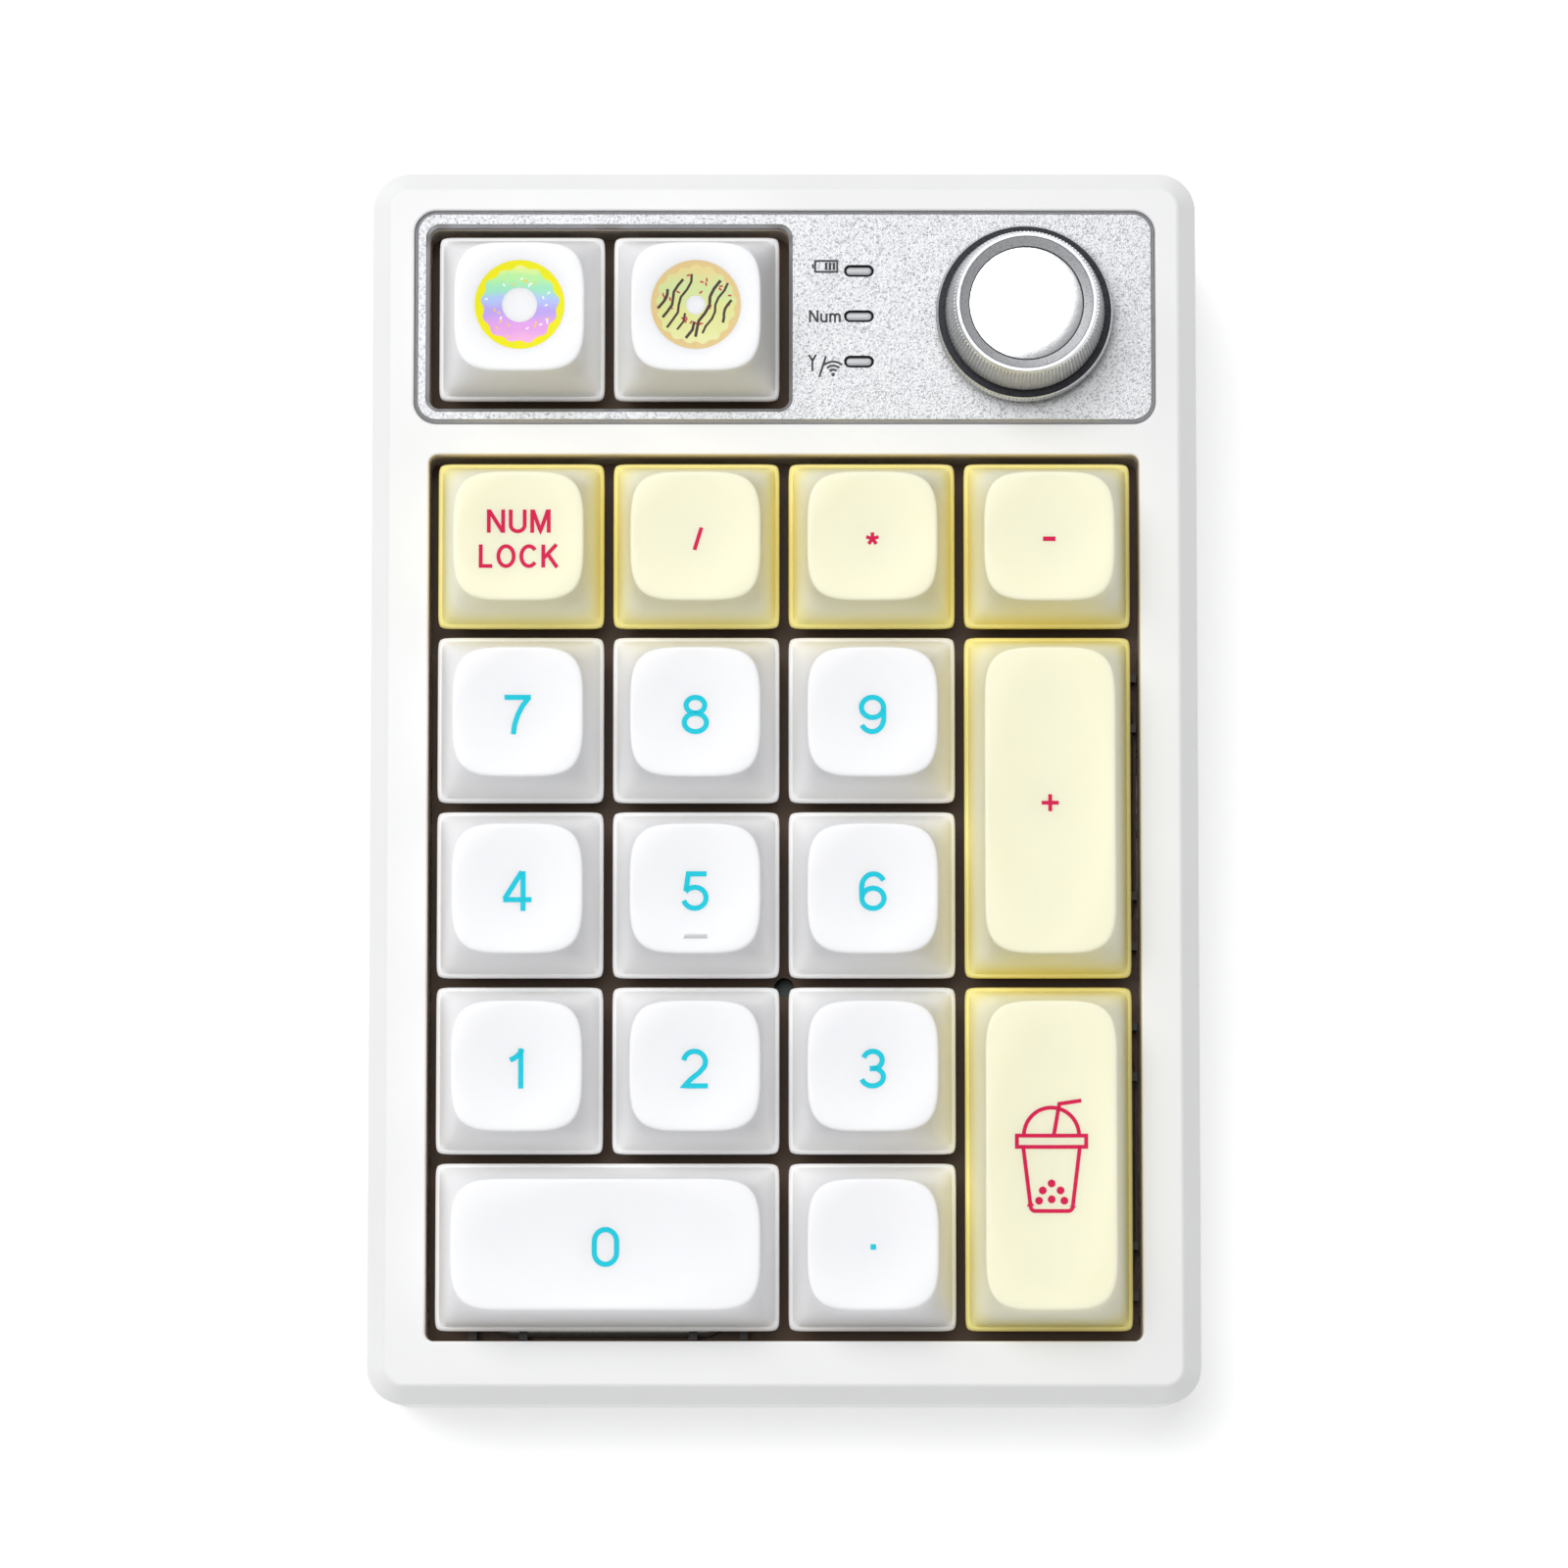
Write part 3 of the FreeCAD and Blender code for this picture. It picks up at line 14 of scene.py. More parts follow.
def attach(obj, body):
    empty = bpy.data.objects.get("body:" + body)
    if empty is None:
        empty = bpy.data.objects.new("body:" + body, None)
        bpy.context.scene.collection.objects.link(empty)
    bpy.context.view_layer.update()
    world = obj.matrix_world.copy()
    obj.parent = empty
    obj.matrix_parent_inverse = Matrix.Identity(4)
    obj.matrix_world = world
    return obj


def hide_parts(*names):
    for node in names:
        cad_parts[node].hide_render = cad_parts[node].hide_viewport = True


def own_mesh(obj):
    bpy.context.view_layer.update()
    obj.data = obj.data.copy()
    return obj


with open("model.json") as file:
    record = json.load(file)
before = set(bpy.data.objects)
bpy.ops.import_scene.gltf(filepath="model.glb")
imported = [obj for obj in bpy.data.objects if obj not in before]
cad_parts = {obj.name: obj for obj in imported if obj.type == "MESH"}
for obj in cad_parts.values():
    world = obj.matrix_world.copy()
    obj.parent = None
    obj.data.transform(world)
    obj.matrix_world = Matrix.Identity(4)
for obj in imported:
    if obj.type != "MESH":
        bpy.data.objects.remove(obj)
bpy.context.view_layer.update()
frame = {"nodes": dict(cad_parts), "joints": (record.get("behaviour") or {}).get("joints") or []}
nodes = frame["nodes"]
joints = {joint["name"]: joint for joint in frame["joints"]}
millimetre = 0.001

# the deck's tilt comes from the way its keys move
pressAxis = joints["key_5_press"]["axis"]
deckTilt = math.atan2(pressAxis[1], -pressAxis[2])
deckTurn = Matrix.Rotation(deckTilt, 4, "X")


def flatBox(node):  # a node's corners in millimetres once the deck lies flat
    mesh = nodes[node].data
    points = np.zeros(len(mesh.vertices) * 3)
    mesh.vertices.foreach_get("co", points)
    points = points.reshape(-1, 3) @ np.array(deckTurn.to_3x3()) / millimetre
    return Vector(points.min(0)), Vector(points.max(0))


caseLow, caseHigh = flatBox("top_case")
deckOrigin = Vector((0, (caseLow.y + caseHigh.y) / 2, flatBox("switch_plate")[1].z))
deckToFrame = Matrix.Scale(millimetre, 4) @ deckTurn @ Matrix.Translation(deckOrigin)
frameToDeck = deckToFrame.inverted()


def deckBox(node):
    low, high = flatBox(node)
    return low - deckOrigin, high - deckOrigin


def middle(node):
    low, high = deckBox(node)
    return (low + high) / 2


print("frame loaded, deck tilted", round(math.degrees(deckTilt), 2), "degrees")


# finishes

def linearColour(text):
    channels = [int(text[start:start + 2], 16) / 255 for start in (1, 3, 5)]
    curve = [c / 12.92 if c <= 0.04045 else ((c + 0.055) / 1.055) ** 2.4 for c in channels]
    return (*curve, 1)


def addNode(material, kind, settings={}, values={}, links={}):
    node = material.node_tree.nodes.new(kind)
    for name, value in settings.items():
        setattr(node, name, value)
    for name, value in values.items():
        node.inputs[name].default_value = value
    for name, socket in links.items():
        material.node_tree.links.new(socket, node.inputs[name])
    return node


def newFinish(name, roughness, metallic=0.0):
    material = bpy.data.materials.new(name)
    material.use_nodes = True
    shader = material.node_tree.nodes["Principled BSDF"]
    shader.inputs["Roughness"].default_value = roughness
    shader.inputs["Metallic"].default_value = metallic
    place = addNode(material, "ShaderNodeTexCoord").outputs["Object"]
    return material, shader, place


glossSwing = 0.06  # how far the grain moves a plastic's roughness either way


def perMillimetre(size):  # a noise scale whose grains are about this many millimetres
    return 1 / (size * millimetre)


# moulded plastic: a cloud of tone through the part and the fine bite of the etched mould
def mouldedPlastic(name, light, dark, roughness, grain, depth, cloud=14.0, ior=1.5):
    material, shader, place = newFinish(name, roughness)
    shader.inputs["IOR"].default_value = ior
    tone = addNode(material, "ShaderNodeTexNoise", {}, {"Scale": perMillimetre(cloud), "Detail": 2},
                   {"Vector": place})
    colour = addNode(material, "ShaderNodeMix", {"data_type": "RGBA"},
                     {6: linearColour(light), 7: linearColour(dark)}, {0: tone.outputs["Fac"]})
    bite = addNode(material, "ShaderNodeTexNoise", {},
                   {"Scale": perMillimetre(grain), "Detail": 3, "Roughness": 0.6}, {"Vector": place})
    bump = addNode(material, "ShaderNodeBump", {}, {"Strength": 1, "Distance": depth * millimetre},
                   {"Height": bite.outputs["Fac"]})
    gloss = addNode(material, "ShaderNodeMapRange", {},
                    {"To Min": roughness - glossSwing, "To Max": roughness + glossSwing},
                    {"Value": bite.outputs["Fac"]})
    links = material.node_tree.links
    links.new(colour.outputs[2], shader.inputs["Base Color"])
    links.new(gloss.outputs["Result"], shader.inputs["Roughness"])
    links.new(bump.outputs["Normal"], shader.inputs["Normal"])
    return material


# keycap PBT: matt and finely sparked; its colour deepens down the flanks towards the skirt, which is painted
# shade and painted bounce light
def keycapPaintedShadePlastic(name, top, skirt, roughness, grain, depth, low, high, mottleSize=5, uneven=0.06):
    material = mouldedPlastic(name, top, top, roughness, grain, depth)
    links = material.node_tree.links
    shader = material.node_tree.nodes["Principled BSDF"]
    place = addNode(material, "ShaderNodeTexCoord").outputs["Object"]
    level = addNode(material, "ShaderNodeMapping", {},
                    {"Location": frameToDeck.to_translation() * millimetre,
                     "Rotation": (-deckTilt, 0, 0)}, {"Vector": place})
    height = addNode(material, "ShaderNodeSeparateXYZ", {}, {}, {"Vector": level.outputs["Vector"]})
    share = addNode(material, "ShaderNodeMapRange", {"interpolation_type": "SMOOTHSTEP"},
                    {"From Min": low * millimetre, "From Max": high * millimetre},
                    {"Value": height.outputs["Z"]})
    mottle = addNode(material, "ShaderNodeTexNoise", {}, {"Scale": perMillimetre(mottleSize), "Detail": 2},
                     {"Vector": place})
    wobble = addNode(material, "ShaderNodeMapRange", {}, {"To Min": -uneven, "To Max": uneven},
                     {"Value": mottle.outputs["Fac"]})
    mixed = addNode(material, "ShaderNodeMath", {"operation": "ADD", "use_clamp": True}, {},
                    {0: share.outputs["Result"], 1: wobble.outputs["Result"]})
    # painted shade and bounce light: the skirt colour low on the flanks, the top colour above
    colour = addNode(material, "ShaderNodeMix", {"data_type": "RGBA"},
                     {6: linearColour(skirt), 7: linearColour(top)}, {0: mixed.outputs["Value"]})
    links.new(colour.outputs[2], shader.inputs["Base Color"])
    shader.inputs["Subsurface Weight"].default_value = 0.45  # light soaks a few millimetres into the wall
    shader.inputs["Subsurface Radius"].default_value = (1.0, 0.95, 0.85)
    shader.inputs["Subsurface Scale"].default_value = 2.5 * millimetre
    return material


# metal: grit pits or turning marks as bump, with darker specks where the pits are deep
def workedMetal(name, light, dark, roughness, grit, depth, specks=0.0, stretch=(1, 1, 1)):
    material, shader, place = newFinish(name, roughness, metallic=1.0)
    along = addNode(material, "ShaderNodeMapping", {}, {"Rotation": (-deckTilt, 0, 0), "Scale": stretch},
                    {"Vector": place})
    pits = addNode(material, "ShaderNodeTexNoise", {},
                   {"Scale": perMillimetre(grit), "Detail": 4, "Roughness": 0.7},
                   {"Vector": along.outputs["Vector"]})
    deep = addNode(material, "ShaderNodeMapRange", {},
                   {"From Min": 0.5, "From Max": 0.66, "To Max": specks},
                   {"Value": pits.outputs["Fac"]})
    colour = addNode(material, "ShaderNodeMix", {"data_type": "RGBA"},
                     {6: linearColour(light), 7: linearColour(dark)}, {0: deep.outputs["Result"]})
    gloss = addNode(material, "ShaderNodeMapRange", {},
                    {"To Min": roughness * 0.75, "To Max": roughness * 1.25}, {"Value": pits.outputs["Fac"]})
    bump = addNode(material, "ShaderNodeBump", {}, {"Strength": 1, "Distance": depth * millimetre},
                   {"Height": pits.outputs["Fac"]})
    links = material.node_tree.links
    links.new(colour.outputs[2], shader.inputs["Base Color"])
    links.new(gloss.outputs["Result"], shader.inputs["Roughness"])
    links.new(bump.outputs["Normal"], shader.inputs["Normal"])
    return material


# dye sunk into the plastic: flat and slightly speckled where the grain shows through
def sunkDye(name, colour, thin, speck=0.22):
    material, shader, place = newFinish(name, 0.6)
    shader.inputs["Specular IOR Level"].default_value = 0.25
    grain = addNode(material, "ShaderNodeTexNoise", {},
                    {"Scale": perMillimetre(speck), "Detail": 3, "Roughness": 0.7}, {"Vector": place})
    worn = addNode(material, "ShaderNodeMapRange", {}, {"From Min": 0.5, "From Max": 0.85, "To Max": 0.75},
                   {"Value": grain.outputs["Fac"]})
    mixed = addNode(material, "ShaderNodeMix", {"data_type": "RGBA"},
                    {6: linearColour(colour), 7: linearColour(thin)}, {0: worn.outputs["Result"]})
    material.node_tree.links.new(mixed.outputs[2], shader.inputs["Base Color"])
    return material


capSkirt = deckBox("keycap_5")[0].z
capTop = deckBox("keycap_5")[1].z
# the caps' skirt colours are painted shade, and for the yellow caps painted bounce light
whitePaintedShadeHeights = (capSkirt, capTop - 2)  # heights between which a cap's colour turns into its top's
yellowPaintedBounceHeights = (capSkirt - 0.9, capSkirt + 4.8)
finish = {
    # moulded ABS from an etched tool: a soft sheen that breaks up finely, never a mirror
    "caseWhite": mouldedPlastic("white_moulded_abs", "#ECECEC", "#E7E7E7", 0.42, 0.4, 0.006),
    "blackPlastic": mouldedPlastic("black_moulded_abs", "#1E1E20", "#161617", 0.45, 0.4, 0.008),
    # painted shade: the plate gets an even warm brown-grey so the gaps between the keys read shaded, matt
    # with a slight orange peel
    "paintedShadePlate": mouldedPlastic("brown_grey_painted_shade", "#6B5137", "#5C442D", 0.5, 0.5, 0.01),
    # the wells' walls: the case white made warmer and dimmer, painted shade and painted brown bounce light
    # from the plate
    "paintedShadeWall": mouldedPlastic("warm_painted_shade_wall", "#E6DCCF", "#DBD0C2", 0.5, 0.5, 0.01),
    # moulded PBT: chalky and slightly see-through, so edges glow and shadows stay soft; the deeper skirt
    # colours are painted shade, and the yellow's is also painted bounce light
    "capWhite": keycapPaintedShadePlastic("white_pbt", "#FDFDFF", "#F6F5F3", 0.55, 0.35, 0.012, *whitePaintedShadeHeights),
    "capYellow": keycapPaintedShadePlastic("yellow_pbt", "#FEF9D6", "#FBE670", 0.55, 0.35, 0.012, *yellowPaintedBounceHeights),
    # dye sublimed into the PBT: flat colour with no film, paler where the grain shows
    "cyanDye": sunkDye("cyan_dye", "#00C9DE", "#3FD6E6"),
    "magentaDye": sunkDye("magenta_dye", "#D60049", "#DD3B72"),
    # screen ink on metal: thin dark grey with a dry edge
    "panelInk": sunkDye("grey_screen_ink", "#4A4B4E", "#5E5F62", 0.3),
    # bead-blasted aluminium: bright frost with fine dark pits, drawn coarser than real grit to show
    "blasted": workedMetal("bead_blasted_aluminium", "#C4C5C7", "#8A8B8E", 0.5, 0.26, 0.06, 0.9),
    # diamond-cut aluminium: a clean grey line along each edge
    "polished": workedMetal("polished_aluminium", "#B4B4B7", "#98989B", 0.42, 0.8, 0.001, 0.2),
    # lathe-turned aluminium: a close sheen over the knob's face
    "turned": workedMetal("turned_aluminium", "#D6D7D9", "#A6A7AA", 0.24, 0.5, 0.004, 0.4),
    # pressed knurl: small bright crests
    "knurled": workedMetal("knurled_aluminium", "#EDEEF0", "#A2A3A6", 0.42, 0.3, 0.004, 0.5),
    # painted shade in the cut grooves: near-black aluminium, so the knob stands off its flange
    "paintedShadeGroove": workedMetal("painted_shade_dark_aluminium", "#2B2C2F", "#1C1D1F", 0.45, 0.4, 0.004, 0.5),
    # fine turning marks: a grey ring that spreads the light
    "innerCone": workedMetal("finely_turned_aluminium", "#E2E3E5", "#A0A1A4", 0.5, 0.25, 0.02, 0.6),
    # frosted polycarbonate: milky grey, lit only from below
    "lightPipe": mouldedPlastic("frosted_polycarbonate", "#C9CACD", "#B4B5B9", 0.3, 0.5, 0.004, 3),
    "clearHousing": mouldedPlastic("milky_polycarbonate", "#C9C6C2", "#B6B2AE", 0.3, 0.5, 0.006),
    # nickel plate over steel: warm, hard highlights
    "steel": workedMetal("nickel_plated_steel", "#C4C5C8", "#8B8C90", 0.25, 0.6, 0.003, 0.3),
    # drawn spring wire: slightly dull from the die
    "springSteel": workedMetal("spring_steel_wire", "#A9ABB0", "#6E7075", 0.28, 0.6, 0.003, 0.3),
    # black oxide: dark and oily
    "blackSteel": workedMetal("black_oxide_steel", "#2E2F31", "#1C1D1F", 0.38, 0.5, 0.004, 0.5),
    # silicone rubber: black that takes no highlight
    "rubber": mouldedPlastic("black_silicone_rubber", "#2A2A2B", "#222223", 0.75, 0.5, 0.02),
    # solder mask: glossy green with a faint ripple
    "board": mouldedPlastic("green_solder_mask", "#1F5A3A", "#19492F", 0.3, 0.8, 0.006, 8),
    # aluminised pouch film: pale, shiny and a little crumpled
    "foil": mouldedPlastic("battery_pouch_film", "#B9BBBE", "#A4A6AA", 0.28, 1.5, 0.02),
    # glass-filled nylon: dark and dry, so nothing shines between the keys
    "darkHousing": mouldedPlastic("smoke_nylon", "#4B4644", "#3F3B39", 0.45, 0.4, 0.008),
    # acetal: an even, waxy red
    "redStem": mouldedPlastic("red_acetal", "#C2312E", "#A92826", 0.4, 0.5, 0.006),
}
print("finishes ready:", len(finish))


# building blocks

def pieceFrom(shape, name, body, slotName, materials, replaced=(), sharp=35):
    mesh = bpy.data.meshes.new(name)
    shape.to_mesh(mesh)
    shape.free()
    mesh.transform(deckToFrame)
    for material in materials:
        mesh.materials.append(material)
    mesh.polygons.foreach_set("use_smooth", [True] * len(mesh.polygons))
    mesh.set_sharp_from_angle(angle=math.radians(sharp))
    piece = bpy.data.objects.new(name, mesh)
    bpy.context.scene.collection.objects.link(piece)
    return rideOn(piece, body, replaced)


def rideOn(piece, body, replaced=()):
    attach(piece, body)
    if replaced:
        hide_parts(*replaced)
    return piece


def skinRings(shape, rings, tag=0):  # quads between closed rings of the same count
    made = [[shape.verts.new(point) for point in ring] for ring in rings]
    for lower, upper in zip(made, made[1:]):
        for k in range(len(lower)):
            after = (k + 1) % len(lower)
            face = shape.faces.new((lower[k], lower[after], upper[after], upper[k]))
            face.material_index = tag
    return made


def tidySurface(shape, gap=1e-5):
    bmesh.ops.remove_doubles(shape, verts=shape.verts, dist=gap)
    bmesh.ops.dissolve_degenerate(shape, dist=gap, edges=shape.edges)
    bmesh.ops.recalc_face_normals(shape, faces=shape.faces)


# keycaps

keycap = {
    "base": 18.05,  # skirt, square over the walls
    "dish": 14.05,  # across the top's bulging sides
    "lip": 0.95,
    "lipRoll": 0.42,  # rounding of the lip into the flank
    "flare": 1.65,  # how hollow the flanks are
    "baseCorner": 0.972,  # where the outline crosses its diagonal, as a share of the half width
    "dishCorner": 0.842,
    "edge": 0.28,  # rounding where the flank meets the dish
    "dishDepth": 0.55,
    "dishRise": 20.0,  # radius of the dish's hollow, the same along both ways
    "dishMiddleCorner": 0.72,
    "skirt": 0.12,  # rounding under the lip
    "lipSteps": 5,
    "flankSteps": 14,
    "edgeSteps": 4,
    "wall": 1.3,
    "draft": 4.0,  # how much narrower the room inside is at its roof
    "roomCorner": 0.96,
    "crown": 1.5,
    "turns": 12,  # points in half a quarter of an outline
    "straight": 10,  # stretches along a wide cap's straight side
    "boss": 2.75,
    "bossGap": 0.2,  # between a boss and the shoulder of its stem
    "bossOverlap": 0.3,
    "socket": (4.12, 1.32, 3.8),  # a cross's span, arm width and depth
    "post": 11.938,  # a stabiliser's post from the key's centre
}


def capDirections():  # (cosine, sine, share of the stretch along u, the same along v)
    spread = [(k / keycap["turns"]) ** 1.7 for k in range(keycap["turns"] + 1)]
    half = [-s for s in reversed(spread)][:-1] + spread
    straight = [1 - 2 * k / keycap["straight"] for k in range(1, keycap["straight"])]
    ways = []
    for quarter, (signU, signV) in enumerate(((1, 1), (-1, 1), (-1, -1), (1, -1))):
        for s in half:
            angle = math.radians(45 + 90 * quarter + 45 * s)
            ways.append((math.cos(angle), math.sin(angle), signU, signV))
        c, s = math.cos(angle), math.sin(angle)
        for t in straight:
            ways.append((c, s, signU * t, signV) if quarter % 2 == 0 else (c, s, signU, signV * t))
    return ways


def capOutline(size, corner, height, stretch):
    power = math.log(2) / -math.log(corner)
    ring = []
    for c, s, slideU, slideV in capWays:
        reach = size / 2 / (abs(c) ** power + abs(s) ** power) ** (1 / power)
        u, v = reach * c + slideU * stretch[0], reach * s + slideV * stretch[1]
        ring.append((u, v, height(u, v) if callable(height) else height))
    return ring


capWays = capDirections()


def dishHeight(stretch):
    lowest = capTop - keycap["dishDepth"]
    rise = keycap["dishRise"]
    share = math.sqrt(1 - (1 - keycap["dishDepth"] / rise) ** 2)
    acrossU = (keycap["dish"] / 2 - keycap["edge"] + stretch[0]) / share
    acrossV = (keycap["dish"] / 2 - keycap["edge"] + stretch[1]) / share

    def height(u, v):
        inside = max(0.0, 1 - (u / acrossU) ** 2 - (v / acrossV) ** 2)
        return min(capTop, lowest + rise * (1 - math.sqrt(inside)))

    return height


def capPlace(name):  # its centre, and how far a double-width cap is drawn out along u and v
    low, high = deckBox("keycap_" + name)
    wide = [(high[k] - low[k] - keycap["base"]) / 2 for k in range(2)]
    return (low + high) / 2, tuple(w if w > 1 else 0.0 for w in wide)


def makeCap(name, material):
    node = "keycap_" + name
    centre, stretch = capPlace(name)
    surface = dishHeight(stretch)
    bottom, skirt = deckBox(node)[0].z, keycap["skirt"]
    rings = []

    def ring(size, share, height):
        corner = keycap["baseCorner"] * share + keycap["dishCorner"] * (1 - share)
        rings.append(capOutline(size, corner, height, stretch))

    ring(keycap["base"] - 2 * skirt, 1, bottom)
    ring(keycap["base"] - 0.6 * skirt, 1, bottom + 0.3 * skirt)
    ring(keycap["base"], 1, bottom + skirt)
    ring(keycap["base"], 1, bottom + keycap["lip"] - keycap["lipRoll"])
    for step in range(1, keycap["lipSteps"]):  # the lip rolls over into the flank
        turn = math.radians(90 * step / keycap["lipSteps"])
        size = keycap["base"] - 2 * keycap["lipRoll"] * (1 - math.cos(turn))
        ring(size, 1, bottom + keycap["lip"] - keycap["lipRoll"] * (1 - math.sin(turn)))
    flankTop = capTop - keycap["edge"]
    foot = keycap["base"] - 2 * keycap["lipRoll"]
    for step in range(keycap["flankSteps"] + 1):
        share = step / keycap["flankSteps"]
        out = (1 - share) ** keycap["flare"]
        size = keycap["dish"] + (foot - keycap["dish"]) * out
        ring(size, out, bottom + keycap["lip"] + share * (flankTop - bottom - keycap["lip"]))
    for step in range(1, keycap["edgeSteps"] + 1):  # the rolled edge round the dish
        turn = math.radians(90 * step / keycap["edgeSteps"])
        size = keycap["dish"] - 2 * keycap["edge"] * (1 - math.cos(turn))
        ring(size, 0, flankTop + keycap["edge"] * math.sin(turn))
    inner = keycap["dish"] - 2 * keycap["edge"]
    for share in (0.97, 0.93, 0.85, 0.72, 0.55, 0.35, 0.15, 0.0):
        corner = keycap["dishCorner"] * share + keycap["dishMiddleCorner"] * (1 - share)
        rings.append(capOutline(inner * share, corner, surface, stretch))
    shape = bmesh.new()
    skinRings(shape, rings)
    roomTop = capTop - keycap["crown"] - keycap["dishDepth"]
    inside = []
    for share, height in ((0.0, bottom), (0.05, bottom + 0.3), (0.9, roomTop - 0.6), (1.0, roomTop)):
        size = keycap["base"] - 2 * keycap["wall"] - keycap["draft"] * share
        inside.append(capOutline(size, keycap["roomCorner"], height, stretch))
    inside.append(capOutline(0.0, 0.9, roomTop, stretch))
    skinRings(shape, [rings[0]] + inside)
    tidySurface(shape)
    bmesh.ops.translate(shape, verts=shape.verts, vec=(centre.x, centre.y, 0))
    addBosses(shape, centre, stretch, roomTop)
    return pieceFrom(shape, "cap_" + name, "key_" + name, "keycap_" + capKind(name), [material],
                     [node], sharp=50)


def addBosses(shape, centre, stretch, roomTop):
    span, thin, depth = keycap["socket"]
    foot = deckBox("switch_stem_5")[1].z - depth + keycap["bossGap"]
    offsets = [(0, 0)]
    if stretch[0]:
        offsets += [(-keycap["post"], 0), (keycap["post"], 0)]
    if stretch[1]:
        offsets += [(0, -keycap["post"]), (0, keycap["post"])]
    for du, dv in offsets:
        cu, cv = centre.x + du, centre.y + dv
        corners = [(span, thin), (thin, thin), (thin, span)]
        cross = []
        for su, sv, order in ((1, 1, 1), (-1, 1, -1), (-1, -1, 1), (1, -1, -1)):
            cross += [(su * a / 2, sv * b / 2) for a, b in corners[::order]]
        circle = [(math.cos(a) * keycap["boss"], math.sin(a) * keycap["boss"])
                  for a in (math.atan2(v, u) for u, v in cross)]
        made = skinRings(shape, [
            [(cu + u, cv + v, roomTop + keycap["bossOverlap"]) for u, v in circle],
            [(cu + u, cv + v, foot) for u, v in circle],
            [(cu + u, cv + v, foot) for u, v in cross],
            [(cu + u, cv + v, foot + depth) for u, v in cross],
        ])
        shape.faces.new(made[0])
        shape.faces.new(list(reversed(made[-1])))


yellowKeys = ["num_lock", "divide", "multiply", "minus", "plus", "enter"]
keyNames = sorted(name[len("keycap_"):] for name in nodes if name.startswith("keycap_"))


def capKind(name):
    return "yellow" if name in yellowKeys else "white"


for name in keyNames:
    makeCap(name, finish["capYellow"] if name in yellowKeys else finish["capWhite"])
print("keycaps:", len(keyNames))


# printed marks: strokes in units of the letter's height, x to the right and y up

def bend(cx, cy, rx, ry, first, last, steps=16):
    turns = [math.radians(first + (last - first) * k / steps) for k in range(steps + 1)]
    return [(cx + rx * math.cos(a), cy + ry * math.sin(a)) for a in turns]


sixStroke = bend(0.36, 0.6, 0.293, 0.333, 30, 180) + [(0.067, 0.36)]
sixLoop = bend(0.348, 0.32, 0.278, 0.255, 0, 360, 28)
glyphs = {
    "0": (0.69, [bend(0.345, 0.64, 0.278, 0.293, 0, 180) + bend(0.345, 0.36, 0.278, 0.293, 180, 360)
                 + [(0.623, 0.64)]]),
    "1": (0.52, [[(0.36, 0), (0.36, 1)], [(0.40, 0.985), (0.31, 0.85), (0.2, 0.765), (0.09, 0.71)]]),
    "2": (0.69, [bend(0.335, 0.668, 0.272, 0.265, 172, -28) + [(0.45, 0.40), (0.25, 0.24), (0.08, 0.067),
                 (0.67, 0.067)]]),
    "3": (0.67, [bend(0.33, 0.715, 0.235, 0.218, 165, -80) + [(0.25, 0.502)],
                 bend(0.32, 0.292, 0.275, 0.225, 92, -165)]),
    "4": (0.72, [[(0.47, 0.99), (0.035, 0.30)], [(0, 0.285), (0.715, 0.285)], [(0.5, 0), (0.5, 1)]]),
    "5": (0.67, [[(0.62, 0.933), (0.165, 0.933), (0.1, 0.5)], bend(0.325, 0.333, 0.285, 0.266, 145, -165)]),
    "6": (0.69, [sixStroke, sixLoop]),
    "7": (0.69, [[(0, 0.933), (0.665, 0.933)],
                 [(0.6, 0.91), (0.46, 0.73), (0.35, 0.52), (0.265, 0.27), (0.225, 0)]]),
    "8": (0.69, [bend(0.345, 0.735, 0.235, 0.198, 0, 360, 26),
                 bend(0.345, 0.298, 0.28, 0.231, 0, 360, 26)]),
    "9": (0.69, [[(0.69 - x, 1 - y) for x, y in stroke] for stroke in (sixStroke, sixLoop)]),
    "N": (0.745, [[(0.067, 0), (0.067, 1)], [(0.09, 0.95), (0.655, 0.05)], [(0.678, 0), (0.678, 1)]]),
    "U": (0.73, [[(0.067, 1)] + bend(0.365, 0.34, 0.298, 0.273, 180, 360) + [(0.663, 1)]]),
    "M": (0.84, [[(0.067, 0), (0.067, 1)], [(0.1, 0.97), (0.42, 0.07), (0.74, 0.97)],
                 [(0.773, 0), (0.773, 1)]]),
    "L": (0.56, [[(0.067, 1), (0.067, 0.067), (0.56, 0.067)]]),
    "O": (0.79, [bend(0.395, 0.5, 0.328, 0.433, 0, 360, 30)]),
    "C": (0.75, [bend(0.395, 0.5, 0.328, 0.433, 38, 322, 26)]),
    "K": (0.7, [[(0.067, 0), (0.067, 1)], [(0.63, 1), (0.1, 0.42)], [(0.25, 0.6), (0.66, 0)]]),
    "u": (0.56, [[(0.06, 0.73)] + bend(0.27, 0.25, 0.21, 0.19, 180, 330, 8), [(0.49, 0), (0.49, 0.73)]]),
    "m": (0.88, [[(0.06, 0), (0.06, 0.73)], bend(0.25, 0.5, 0.19, 0.18, 180, 0, 8) + [(0.44, 0)],
                 bend(0.63, 0.5, 0.19, 0.18, 180, 0, 8) + [(0.82, 0)]]),
}


def resample(stroke, longest):
    points = [Vector(stroke[0])]
    for start, end in zip(stroke, stroke[1:]):
        start, end = Vector(start), Vector(end)
        pieces = max(1, math.ceil((end - start).length / longest))
        points += [start.lerp(end, k / pieces) for k in range(1, pieces + 1)]
    return points


